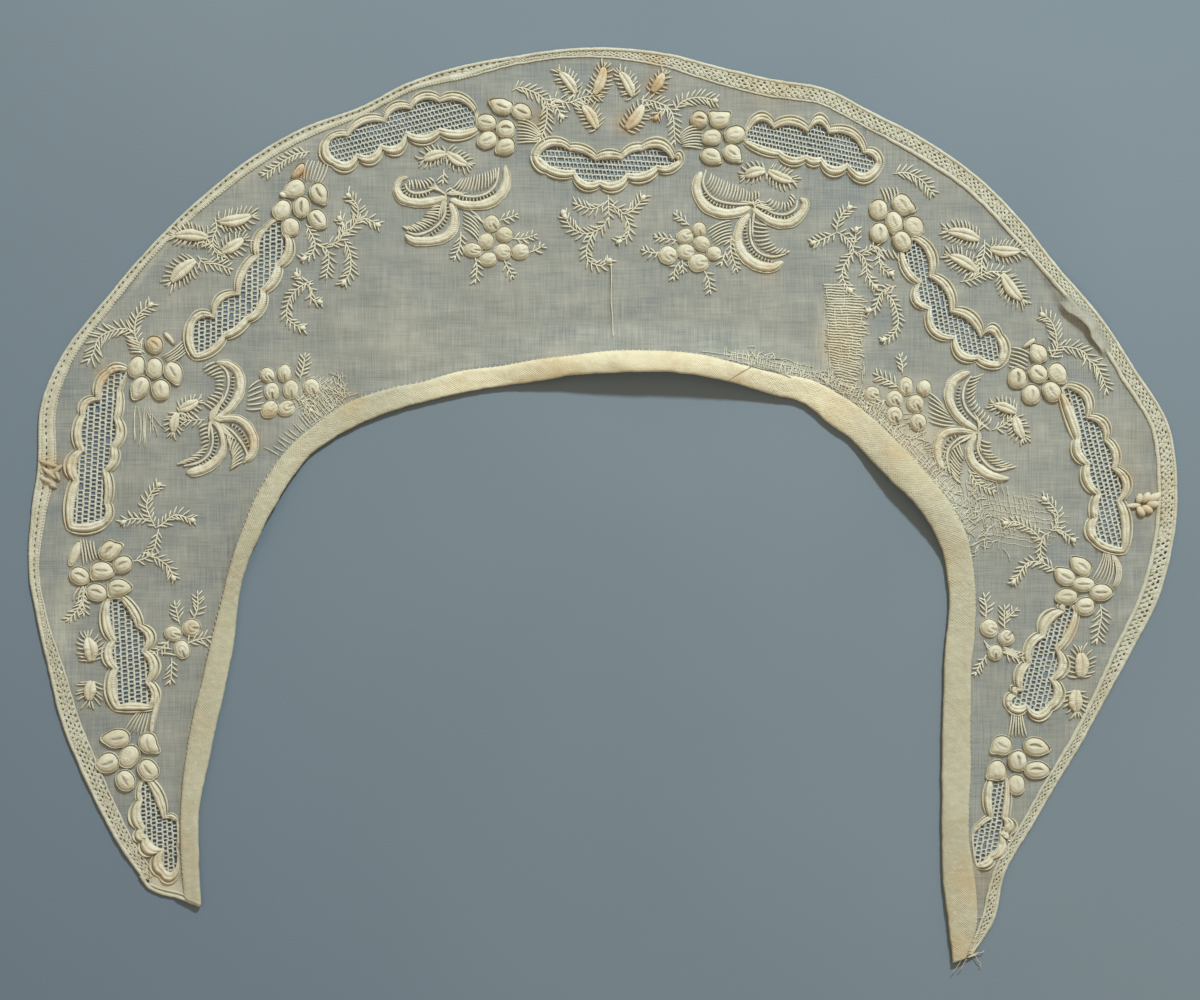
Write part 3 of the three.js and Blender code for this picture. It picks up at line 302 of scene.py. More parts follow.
# soft spots of old staining: x y radius strength
STAINS = np.array([
    [604, 74, 9, .75], [628, 122, 12, .7], [656, 84, 11, .8], [656, 118, 5, .9], [600, 90, 8, .5], [592, 118, 9, .35],
    [106, 376, 10, .7], [155, 343, 8, .55], [902, 446, 26, .30], [888, 432, 30, .20], [848, 402, 30, .22],
    [932, 560, 22, .3], [1128, 476, 12, .35], [1135, 440, 20, .12], [1082, 660, 9, .25], [1078, 702, 9, .15], [1070, 628, 9, .4],
    [301, 172, 7, 1.], [538, 119, 9, .6], [490, 101, 5, .5], [699, 118, 7, .45], [838, 346, 20, .28], [845, 325, 18, .15],
    [270, 413, 6, .5], [192, 628, 6, .35], [58, 470, 16, .5], [48, 462, 9, .6], [975, 880, 22, .35], [962, 950, 22, .35],
    [1165, 500, 26, .25], [1144, 505, 12, .5], [668, 374, 40, .10], [738, 380, 9, .35], [560, 374, 20, .3], [350, 400, 14, .35],
    [160, 870, 24, .25], [770, 268, 12, .3], [938, 440, 16, .25], [925, 470, 20, .25], [770, 82, 30, .2], [1100, 700, 26, .12],
    [1063, 400, 9, .5], [250, 440, 12, .35], [655, 62, 10, .4]], float)


# ------------------------------------------------------------ chart maths ----
def row_at(q, key):
    q = np.asarray(q, float)
    n = len(SECTIONS) - 1
    i = np.minimum(np.floor(q).astype(int), n - 1)
    t = q - i
    col = SECTIONS[:, COL[key]]
    a, b, c, d = (col[np.clip(i + k, 0, n)] for k in (-1, 0, 1, 2))
    return b + .5 * t * (c - a + t * (2 * a - 5 * b + 4 * c - d + t * (3 * (b - c) + d - a)))


Q = np.arange(STEPS + 1) * (len(SECTIONS) - 1) / STEPS
_x = np.concatenate([row_at(Q, 'edgeX'), row_at(Q, 'neckX')])
_y = np.concatenate([row_at(Q, 'edgeY'), row_at(Q, 'neckY')])
MID_X, MID_Y = (_x.min() + _x.max()) / 2, (_y.min() + _y.max()) / 2


def rise(x, y):
    total = np.zeros(np.shape(x))
    for fx, fy, rx, ry, turn, height in FOLDS:
        a = math.radians(turn)
        u = ((x - fx) * math.cos(a) + (y - fy) * math.sin(a)) / rx
        v = ((y - fy) * math.cos(a) - (x - fx) * math.sin(a)) / ry
        r = np.maximum(0, 1 - u * u - v * v)
        total += height * r * r
    return total


FINE = 640
QF = np.linspace(0, len(SECTIONS) - 1, FINE + 1)
NECK = np.stack([row_at(QF, 'neckX'), row_at(QF, 'neckY')], 1)
EDGE = np.stack([row_at(QF, 'edgeX'), row_at(QF, 'edgeY')], 1)
TAPE_W, LACE_W = row_at(QF, 'tape'), row_at(QF, 'lace')
SPAN = np.linalg.norm(EDGE - NECK, axis=1)


def across(d):
    """Points at distance d (chart units, one per station) from the neck edge."""
    return NECK + (EDGE - NECK) * (d / SPAN)[:, None]


def near(points, line):
    """Distance to a polyline and the fractional index of the nearest point."""
    a, b = line[:-1], line[1:]
    ab = b - a
    l2 = np.maximum((ab ** 2).sum(1), 1e-9)
    dist, where = np.empty(len(points)), np.empty(len(points))
    for s in range(0, len(points), 8000):
        p = points[s:s + 8000, None, :] - a[None]
        t = np.clip((p * ab[None]).sum(2) / l2[None], 0, 1)
        d = np.linalg.norm(p - t[..., None] * ab[None], axis=2)
        k = d.argmin(1)
        r = np.arange(len(k))
        dist[s:s + 8000], where[s:s + 8000] = d[r, k], k + t[r, k]
    return dist, where


def nearest_point(points, a, b):
    ab = b - a
    l2 = np.maximum((ab ** 2).sum(1), 1e-9)
    out = np.empty_like(points)
    dist = np.empty(len(points))
    for s in range(0, len(points), 6000):
        p = points[s:s + 6000, None, :] - a[None]
        t = np.clip((p * ab[None]).sum(2) / l2[None], 0, 1)
        c = a[None] + t[..., None] * ab[None]
        d = np.linalg.norm(points[s:s + 6000, None, :] - c, axis=2)
        k = d.argmin(1)
        r = np.arange(len(k))
        out[s:s + 6000], dist[s:s + 6000] = c[r, k], d[r, k]
    return out, dist


def inside(points, poly):
    x, y = points[:, 0], points[:, 1]
    hit = np.zeros(len(points), bool)
    j = len(poly) - 1
    for i in range(len(poly)):
        xi, yi, xj, yj = poly[i, 0], poly[i, 1], poly[j, 0], poly[j, 1]
        if yi != yj:
            cond = ((yi > y) != (yj > y)) & (x < (xj - xi) * (y - yi) / (yj - yi) + xi)
            hit ^= cond
        j = i
    return hit


def value_noise(x, y, seed, octaves=3):
    """Smooth repeatable noise, about -1 to 1, for unit-spaced lattice cells."""
    total, amp, norm = np.zeros(np.shape(x)), 1.0, 0.0
    for o in range(octaves):
        g = np.random.default_rng(seed + o).uniform(-1, 1, (97, 97))
        fx, fy = np.asarray(x) * 2 ** o, np.asarray(y) * 2 ** o
        ix, iy = np.floor(fx).astype(int), np.floor(fy).astype(int)
        tx, ty = fx - ix, fy - iy
        tx, ty = tx * tx * (3 - 2 * tx), ty * ty * (3 - 2 * ty)
        v00, v10 = g[ix % 97, iy % 97], g[(ix + 1) % 97, iy % 97]
        v01, v11 = g[ix % 97, (iy + 1) % 97], g[(ix + 1) % 97, (iy + 1) % 97]
        total += amp * ((v00 * (1 - tx) + v10 * tx) * (1 - ty) + (v01 * (1 - tx) + v11 * tx) * ty)
        norm += amp
        amp *= .5
    return total / norm


# the cloth climbs into the tape: looked up on a coarse raster
RX, RY = np.arange(0, 1204, 4.0), np.arange(0, 1004, 4.0)
_gx, _gy = np.meshgrid(RX, RY, indexing='ij')
_dist, _at = near(np.stack([_gx.ravel(), _gy.ravel()], 1), NECK[::4])
_tape = np.interp(_at * 4, np.arange(FINE + 1), TAPE_W)
RASTER = (_dist - _tape).reshape(_gx.shape)          # distance beyond the tape's edge


def lookup(raster, x, y):
    fx, fy = np.clip(np.asarray(x) / 4, 0, len(RX) - 1.001), np.clip(np.asarray(y) / 4, 0, len(RY) - 1.001)
    ix, iy = fx.astype(int), fy.astype(int)
    tx, ty = fx - ix, fy - iy
    return ((raster[ix, iy] * (1 - tx) + raster[ix + 1, iy] * tx) * (1 - ty)
            + (raster[ix, iy + 1] * (1 - tx) + raster[ix + 1, iy + 1] * tx) * ty)


def pucker(x, y):
    """Small dents and drawn-up places in the muslin (mm)."""
    p = .30 * value_noise(x / 30, y / 24, 11) + .10 * value_noise(x / 8, y / 9, 21)
    p += .05 * value_noise(x / 3.1, y / 60, 31)
    # the upright crease at the centre back and the one right of the scrolls
    p += .35 * np.exp(-((x - 611 - (y - 285) * .01) / 2.2) ** 2) * np.clip((y - 236) / 10, 0, 1) * np.clip((338 - y) / 12, 0, 1)
    p -= .25 * np.exp(-((x - 608) / 2.0) ** 2) * np.clip((y - 236) / 10, 0, 1) * np.clip((300 - y) / 25, 0, 1)
    p += .45 * np.exp(-((x - 809) / 2.4) ** 2) * np.clip((y - 160) / 8, 0, 1) * np.clip((250 - y) / 30, 0, 1)
    # the crease inside the right outer edge
    cx = np.array([1056, 1063, 1072, 1082, 1088, 1093, 1100], float)
    cy = np.array([301, 310, 320, 329, 334, 342, 352], float)
    d, _ = nearest_point(np.stack([np.ravel(x), np.ravel(y)], 1).astype(float), np.stack([cx, cy], 1)[:-1], np.stack([cx, cy], 1)[1:])
    dx, dy = (np.ravel(x) - d[:, 0]).reshape(np.shape(x)), (np.ravel(y) - d[:, 1]).reshape(np.shape(x))
    dist = np.hypot(dx, dy)
    outward = dx * .70 - dy * .71
    p += .30 * np.where(outward > 0, np.exp(-(dist / 15) ** 2), np.exp(-(dist / 1.5) ** 2))
    return p


def drift(x, y, ramp):
    z = rise(x, y)
    if ramp:
        near_tape = np.clip(1 - lookup(RASTER, x, y) / 9.0, 0, 1)
        z = z + pucker(x, y) * (1 - near_tape) + .55 * near_tape * near_tape * (3 - 2 * near_tape)
    return z


def stain_at(x, y):
    s = np.zeros(np.shape(x))
    for sx, sy, r, k in STAINS:
        s = np.maximum(s, k * np.exp(-((x - sx) ** 2 + (y - sy) ** 2) / (r * r)))
    return s


# ------------------------------------------------------------ mesh builder ---
class Soup:
    """Gathers closed little solids into one mesh. x, y in chart units, z in mm."""

    def __init__(self):
        self.v, self.f, self.st, self.tint, self.n = [], [], [], [], 0

    def add(self, v, faces, st, tint):
        self.v.append(v)
        self.f += [f + self.n for f in faces]
        self.st.append(np.broadcast_to(st, v.shape))
        self.tint.append(np.broadcast_to(tint, v.shape))
        self.n += len(v)


def skin(soup, rings, st=None, dark=0., wrap=False, flip=False):
    """Closed solids from rings (K, n, m, 3), capped at the ends unless wrapped."""
    K, n, m, _ = rings.shape
    i, j = np.meshgrid(np.arange(n if wrap else n - 1), np.arange(m), indexing='ij')
    i, j = i.ravel(), j.ravel()
    i2, j2 = (i + 1) % n, (j + 1) % m
    quad = np.stack([i * m + j, i2 * m + j, i2 * m + j2, i * m + j2], 1)
    base = (np.arange(K) * n * m)[:, None, None]
    faces = [(quad[None] + base).reshape(-1, 4)]
    if not wrap:
        start, end = np.arange(m), (n - 1) * m + np.arange(m)[::-1]
        faces += [(start[None] + base[:, :, 0]).reshape(-1, m), (end[None] + base[:, :, 0]).reshape(-1, m)]
    if flip:
        faces = [f[:, ::-1] for f in faces]
    v = rings.reshape(-1, 3)
    st = np.zeros((len(v), 3)) if st is None else np.broadcast_to(st, (K, n, m, 3)).reshape(-1, 3)
    tint = np.zeros((len(v), 3))
    tint[:, 1] = np.broadcast_to(dark, (K, n, m)).ravel() if np.ndim(dark) else dark
    soup.add(v, faces, st, tint)


RNG = np.random.default_rng(8046)


def tubes(soup, P, R, sides=5, flat=1., dark=0., wrap=False, ids=None, pitch=1.5):
    """Round threads. P (K, n, 3) with z in mm; R radius in chart units."""
    P = np.asarray(P, float)
    K, n, _ = P.shape
    C = P.copy()
    C[..., 2] *= MM
    R = np.broadcast_to(np.asarray(R, float), (K, n))
    T = np.roll(C, -1, 1) - np.roll(C, 1, 1) if wrap else np.gradient(C, axis=1)
    T /= np.maximum(np.linalg.norm(T, axis=2, keepdims=True), 1e-9)
    S = np.cross(T, [0, 0, 1.])
    l = np.linalg.norm(S, axis=2, keepdims=True)
    S = np.where(l > 1e-3, S / np.maximum(l, 1e-9), [1., 0, 0])
    U = np.cross(S, T)
    a = (np.arange(sides) + .5) * 2 * np.pi / sides
    ring = C[:, :, None] + R[:, :, None, None] * (np.cos(a)[None, None, :, None] * S[:, :, None] + flat * np.sin(a)[None, None, :, None] * U[:, :, None])
    ring[..., 2] /= MM
    seg = np.linalg.norm(np.diff(C, axis=1), axis=2)
    s = np.concatenate([np.zeros((K, 1)), np.cumsum(seg, 1)], 1)
    st = np.empty((K, n, sides, 3))
    st[..., 0] = (s[:, :, None] + (np.arange(sides) * pitch / sides)[None, None]) / pitch
    st[..., 1] = np.linspace(0, 1, sides)[None, None]
    ids = RNG.uniform(0, 1, K) if ids is None else ids
    st[..., 2] = ids[:, None, None]
    skin(soup, ring, st, dark, wrap)


def finish_mesh(name, soup, material, replaces=(), ramp=True, smooth=True):
    v = np.concatenate(soup.v)
    x, y = v[:, 0], v[:, 1]
    world = np.stack([(x - MID_X) * UNIT, (MID_Y - y) * UNIT, np.maximum(v[:, 2] + drift(x, y, ramp), .0)], 1) * 1e-3
    loops = np.concatenate([f[:, ::-1].ravel() for f in soup.f]).astype(np.int32)
    totals = np.concatenate([np.full(len(f), f.shape[1]) for f in soup.f])
    starts = np.concatenate([[0], np.cumsum(totals)[:-1]]).astype(np.int32)
    me = bpy.data.meshes.new(name)
    me.vertices.add(len(v))
    me.vertices.foreach_set('co', world.astype(np.float32).ravel())
    me.loops.add(len(loops))
    me.loops.foreach_set('vertex_index', loops)
    me.polygons.add(len(totals))
    me.polygons.foreach_set('loop_start', starts)
    me.update(calc_edges=True)
    me.validate()
    me.polygons.foreach_set('use_smooth', np.full(len(me.polygons), smooth))
    st, tint = np.concatenate(soup.st), np.concatenate(soup.tint).copy()
    tint[:, 0] = np.maximum(tint[:, 0], stain_at(x, y))
    for label, data in (('st', st), ('tint', tint)):
        at = me.attributes.new(label, 'FLOAT_VECTOR', 'POINT')
        at.data.foreach_set('vector', data.astype(np.float32).ravel())
    me.materials.append(material)
    ob = bpy.data.objects.new(name, me)
    bpy.context.scene.collection.objects.link(ob)
    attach(ob, 'root')
    if replaces:
        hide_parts(*replaces)
    print(f"{name}: {int((totals - 2).sum())} triangles")
    return ob


# ----------------------------------------------------------------- curves ----
def spline(points, n):
    """Smooth curve through the points, resampled evenly to n points."""
    p = np.asarray(points, float)
    if len(p) > 2:
        ext = np.vstack([2 * p[0] - p[1], p, 2 * p[-1] - p[-2]])
        out = []
        for k in range(len(p) - 1):
            a, b, c, d = ext[k:k + 4]
            t = np.linspace(0, 1, 10, endpoint=False)[:, None]
            out.append(b + .5 * t * (c - a + t * (2 * a - 5 * b + 4 * c - d + t * (3 * (b - c) + d - a))))
        p = np.vstack(out + [p[-1:]])
    s = np.concatenate([[0], np.cumsum(np.linalg.norm(np.diff(p[:, :2], axis=0), axis=1))])
    u = np.linspace(0, s[-1], n)
    return np.stack([np.interp(u, s, p[:, k]) for k in range(p.shape[1])], 1)


def length(points):
    p = np.asarray(points, float)[:, :2]
    return np.linalg.norm(np.diff(p, axis=0), axis=1).sum()


def normals(p):
    t = np.gradient(p[:, :2], axis=0)
    t /= np.maximum(np.linalg.norm(t, axis=1, keepdims=True), 1e-9)
    return t, np.stack([-t[:, 1], t[:, 0]], 1)


def smoothstep(t):
    t = np.clip(t, 0, 1)
    return t * t * (3 - 2 * t)


def stitches(soup, A, B, z0=.62, arch=.32, r=.72, n=6, bow=0., sides=5, flat=.8, dark=0.):
    """Single straight stitches from A to B (K, 2), a little arched and tapered."""
    A, B = np.asarray(A, float), np.asarray(B, float)
    K = len(A)
    t = np.linspace(0, 1, n)
    d = B - A
    nrm = np.stack([-d[:, 1], d[:, 0]], 1) / np.maximum(np.linalg.norm(d, axis=1), 1e-9)[:, None]
    hump = 4 * t * (1 - t)
    xy = A[:, None] + d[:, None] * t[None, :, None] + nrm[:, None] * (np.broadcast_to(bow, K)[:, None] * hump[None])[..., None]
    z = z0 + arch * hump ** .6
    P = np.concatenate([xy, np.broadcast_to(z[None, :, None], (K, n, 1))], 2)
    R = np.broadcast_to(r, K)[:, None] * (.45 + .55 * np.minimum(1, 4.5 * t * (1 - t)))[None]
    tubes(soup, P, R, sides=sides, flat=flat, dark=dark)


# -------------------------------------------------------------- materials ----
class Nodes:
    def __init__(self, name):
        self.m = bpy.data.materials.new(name)
        self.m.use_nodes = True
        self.t = self.m.node_tree
        self.t.nodes.clear()
        self.out = self.add('ShaderNodeOutputMaterial')

    def add(self, kind, **props):
        n = self.t.nodes.new(kind)
        for k, v in props.items():
            setattr(n, k, v)
        return n

    def put(self, socket, value):
        if hasattr(value, 'is_output'):
            self.t.links.new(value, socket)
        elif value is not None:
            socket.default_value = value

    def math(self, op, a, b=None, c=None, clamp=False):
        n = self.add('ShaderNodeMath', operation=op, use_clamp=clamp)
        for s, v in zip(n.inputs, (a, b, c)):
            self.put(s, v)
        return n.outputs[0]

    def attr(self, name):
        n = self.add('ShaderNodeAttribute', attribute_name=name)
        return n.outputs['Vector']

    def split(self, vector):
        n = self.add('ShaderNodeSeparateXYZ')
        self.put(n.inputs[0], vector)
        return n.outputs

    def place(self, scale):
        c = self.add('ShaderNodeTexCoord').outputs['Object']
        n = self.add('ShaderNodeVectorMath', operation='MULTIPLY')
        self.put(n.inputs[0], c)
        n.inputs[1].default_value = scale
        return n.outputs[0]

    def noise(self, vector, scale=1., detail=2., rough=.5):
        n = self.add('ShaderNodeTexNoise')
        self.put(n.inputs['Vector'], vector)
        n.inputs['Scale'].default_value = scale
        n.inputs['Detail'].default_value = detail
        n.inputs['Roughness'].default_value = rough
        return n.outputs[0]

    def mix(self, factor, a, b, mode='MIX'):
        n = self.add('ShaderNodeMix', data_type='RGBA', blend_type=mode)
        self.put(n.inputs['Factor'], factor)
        self.put(n.inputs[6], a)
        self.put(n.inputs[7], b)
        return n.outputs[2]

    def fit(self, value, lo, hi, to_lo=0., to_hi=1.):
        n = self.add('ShaderNodeMapRange')
        for s, v in zip(n.inputs, (value, lo, hi, to_lo, to_hi)):
            self.put(s, v)
        return n.outputs[0]

    def bump(self, height, strength, distance):
        n = self.add('ShaderNodeBump')
        n.inputs['Strength'].default_value = strength
        n.inputs['Distance'].default_value = distance
        self.put(n.inputs['Height'], height)
        return n.outputs[0]

    def shader(self, colour, rough, normal, alpha=None, sheen=.0):
        n = self.add('ShaderNodeBsdfPrincipled')
        self.put(n.inputs['Base Color'], colour)
        self.put(n.inputs['Roughness'], rough)
        self.put(n.inputs['Normal'], normal)
        n.inputs['Specular IOR Level'].default_value = .25
        if sheen:
            n.inputs['Sheen Weight'].default_value = sheen
            n.inputs['Sheen Roughness'].default_value = .5
        if alpha is not None:
            self.put(n.inputs['Alpha'], alpha)
        self.put(self.out.inputs[0], n.outputs[0])
        return n


def rgb(r, g, b):
    """Linear colour from an sRGB triple in 0..255."""
    def f(c):
        c /= 255
        return c / 12.92 if c <= .04045 else ((c + .055) / 1.055) ** 2.4
    return (f(r), f(g), f(b), 1)


STAIN = rgb(200, 160, 98)
# dark brown that the 'dark' channel mixes in: painted shade in grooves, seams, slits, holes and creases and the
# borders' painted shadow on the nets, and the grimier thread of the left mend
SHADE_AND_GRIME = rgb(74, 66, 50)


def thread_material(name, light, shade, ridge=.5, ridge_mm=.00022, blotch=260, sheen=.08):
    """Cotton thread: st.x counts the threads across a satin band."""
    k = Nodes(name)
    u, v, idn = k.split(k.attr('st'))
    stain, dark, _ = k.split(k.attr('tint'))
    cloud = k.noise(k.place((blotch,) * 3), 1, 3, .6)
    fine = k.noise(k.place((1500,) * 3), 1, 4, .65)
    thread = k.math('MULTIPLY_ADD', k.math('SINE', k.math('MULTIPLY', u, 2 * math.pi)), .5, .5)
    base = k.mix(k.fit(cloud, .35, .68), light, shade)
    base = k.mix(k.math('MULTIPLY', k.fit(idn, 0, 1), .20), base, rgb(212, 208, 186))
    # painted shade in the hollows between the threads, darker where the thread ridge is low
    base = k.mix(k.math('MULTIPLY', k.math('SUBTRACT', 1., thread), .17), base, rgb(196, 180, 142))
    speck = k.fit(k.noise(k.place((900, 900, 900)), 1, 3, .7), .62, .8)
    base = k.mix(k.math('MULTIPLY', speck, .22), base, rgb(186, 166, 124))
    base = k.mix(k.math('MULTIPLY', stain, k.fit(cloud, .2, .7, .55, 1.)), base, STAIN)
    # the 'dark' channel: painted shade in grooves, seams, slits, holes and creases, plus the grimier left mend
    base = k.mix(dark, base, SHADE_AND_GRIME)
    height = k.math('ADD', k.math('MULTIPLY', thread, ridge), k.math('MULTIPLY', fine, 1.1))
    k.shader(base, .85, k.bump(height, .9, ridge_mm), sheen=sheen)
    return k.m


def muslin_material(name):
    """Sheer plain weave: threads along X and Y, thinner and thicker by streaks."""
    k = Nodes(name)
    stain, dense, fray = k.split(k.attr('tint'))
    fine_x = k.noise(k.place((2900, 110, 1)), 1, 1, .5)
    fine_y = k.noise(k.place((110, 2900, 1)), 1, 1, .5)
    streak_x = k.noise(k.place((900, 26, 1)), 1, 2, .6)
    streak_y = k.noise(k.place((24, 900, 1)), 1, 2, .6)
    cloud = k.noise(k.place((34, 34, 34)), 1, 3, .55)
    cover = k.math('ADD', k.math('MULTIPLY', fine_x, .55), k.math('MULTIPLY', fine_y, .45))
    patch = k.noise(k.place((110, 80, 1)), 1, 3, .6)
    wisp = k.noise(k.place((48, 150, 1)), 1, 3, .62)
    alpha = k.math('MULTIPLY_ADD', k.math('SUBTRACT', fine_x, .5), .50, .62)
    alpha = k.math('MULTIPLY_ADD', k.math('SUBTRACT', wisp, .5), .60, alpha)
    alpha = k.math('MULTIPLY_ADD', k.math('SUBTRACT', patch, .5), .48, alpha)
    alpha = k.math('MULTIPLY_ADD', k.math('SUBTRACT', fine_y, .5), .40, alpha)
    alpha = k.math('MULTIPLY_ADD', k.math('SUBTRACT', streak_x, .5), .18, alpha)
    alpha = k.math('MULTIPLY_ADD', k.math('SUBTRACT', streak_y, .5), .12, alpha)
    alpha = k.math('MULTIPLY_ADD', k.math('SUBTRACT', cloud, .5), .90, alpha)
    alpha = k.math('ADD', alpha, k.math('MULTIPLY', dense, .6))
    alpha = k.math('SUBTRACT', alpha, k.math('MULTIPLY', fray, .55))
    alpha = k.math('MINIMUM', k.math('MAXIMUM', alpha, .05), .97)
    base = k.mix(k.fit(cloud, .3, .7), rgb(185, 183, 167), rgb(166, 165, 151))
    base = k.mix(k.math('MULTIPLY', dense, .7), base, rgb(214, 208, 182))
    base = k.mix(k.math('MULTIPLY', stain, .8), base, STAIN)
    height = k.math('ADD', k.math('MULTIPLY', cover, .5), k.math('MULTIPLY', streak_x, .6))
    k.shader(base, .9, k.bump(height, .6, .00012), alpha=alpha, sheen=.1)
    return k.m


def tape_material(name):
    k = Nodes(name)
    u, v, _ = k.split(k.attr('st'))
    stain, dark, fresh = k.split(k.attr('tint'))
    pitch = .0007
    wob = k.noise(k.place((300, 300, 300)), 1, 2, .5)

    def weave(value):
        ph = k.math('MULTIPLY_ADD', value, 2 * math.pi / (pitch * 1000), k.math('MULTIPLY', wob, 9.))
        return k.math('MULTIPLY_ADD', k.math('SINE', ph), .5, .5)
    wa, we = weave(k.math('ADD', u, v)), weave(k.math('SUBTRACT', u, v))
    cloud = k.noise(k.place((60, 60, 60)), 1, 4, .6)
    blotch = k.noise(k.place((210, 210, 210)), 1, 3, .6)
    streak = k.noise(k.place((520, 620, 520)), 1, 2, .6)
    base = k.mix(k.fit(cloud, .3, .7), rgb(199, 194, 166), rgb(184, 178, 149))
    base = k.mix(fresh, base, k.mix(k.fit(cloud, .3, .7), rgb(240, 230, 194), rgb(230, 218, 180)))
    base = k.mix(k.math('MULTIPLY', k.fit(blotch, .50, .72), .42), base, rgb(196, 178, 136))
    base = k.mix(k.math('MULTIPLY', k.fit(streak, .5, .8), .30), base, rgb(240, 236, 216))
    # painted shade in the gaps between the woven threads
    base = k.mix(k.math('MULTIPLY', k.math('SUBTRACT', 1., k.math('MAXIMUM', wa, we)), .30), base, rgb(176, 162, 126))
    base = k.mix(k.math('MULTIPLY', stain, k.fit(blotch, .3, .6, .55, 1.)), base, rgb(205, 160, 92))
    base = k.mix(dark, base, SHADE_AND_GRIME)
    height = k.math('ADD', k.math('MULTIPLY', k.math('ADD', wa, we), .30), k.math('MULTIPLY', k.noise(k.place((2200,) * 3), 1, 2, .6), .9))
    height = k.math('MULTIPLY_ADD', k.noise(k.place((420,) * 3), 1, 3, .6), 2.6, height)
    k.shader(base, .88, k.bump(height, .8, .00022), sheen=.10)
    return k.m


M_SATIN = thread_material('satin_cotton', rgb(229, 223, 198), rgb(210, 200, 168), ridge=.40, ridge_mm=.00022)
M_PALE = thread_material('fine_cotton', rgb(234, 229, 203), rgb(221, 214, 185), ridge=.3)
M_NET = thread_material('net_thread', rgb(210, 210, 194), rgb(194, 194, 177), ridge=.3)
M_LACE = thread_material('lace_thread', rgb(214, 211, 188), rgb(196, 191, 164), ridge=.4)
M_DARN = thread_material('darning_thread', rgb(232, 228, 204), rgb(210, 204, 176), ridge=.3)
M_MUSLIN = muslin_material('sheer_muslin')
M_TAPE = tape_material('tape_cotton')


# ---------------------------------------------------------- window outlines --
def scallops(rows, steps, over=.0):
    """For every scallop, matched inner and outer curves (K, steps, 2)."""
    rows = np.asarray(rows, float)
    nxt = np.roll(rows, -1, 0)
    d = nxt[:, :2] - rows[:, :2]
    nrm = np.stack([d[:, 1], -d[:, 0]], 1) / np.linalg.norm(d, axis=1)[:, None]
    prev = np.roll(nrm, 1, 0)
    bis = nrm + prev
    bis /= np.maximum(np.linalg.norm(bis, axis=1), 1e-9)[:, None]
    w = .295 * (rows[:, 3] + np.roll(rows[:, 3], 1))
    tuck = np.minimum(2.5, .25 * rows[:, 3])[:, None]
    bow = rows[:, 2] + .35 * (tuck + np.roll(tuck, -1, 0))[:, 0]
    cin, cout = rows[:, :2] - bis * tuck, rows[:, :2] + bis * w[:, None]
    cin2, cout2 = np.roll(cin, -1, 0), np.roll(cout, -1, 0)
    mid, omid = (cin + cin2) / 2, (cout + cout2) / 2
    reach = bow + rows[:, 3] - ((omid - mid) * nrm).sum(1)
    t = np.linspace(-over, 1 + over, steps)
    hump = 4 * t * (1 - t)
    round_ = np.sign(hump) * np.abs(hump) ** .80
    inner = cin[:, None] + (cin2 - cin)[:, None] * t[None, :, None] + nrm[:, None] * (bow[:, None] * hump[None])[..., None]
    outer = cout[:, None] + (cout2 - cout)[:, None] * t[None, :, None] + nrm[:, None] * (reach[:, None] * round_[None])[..., None]
    return inner, outer, t


def outline(rows, share):
    inner, outer, _ = scallops(rows, 9)
    line = inner + (outer - inner) * share
    return line[:, :-1].reshape(-1, 2)


# ------------------------------------------------------------------ muslin ---
CELL = 3.0


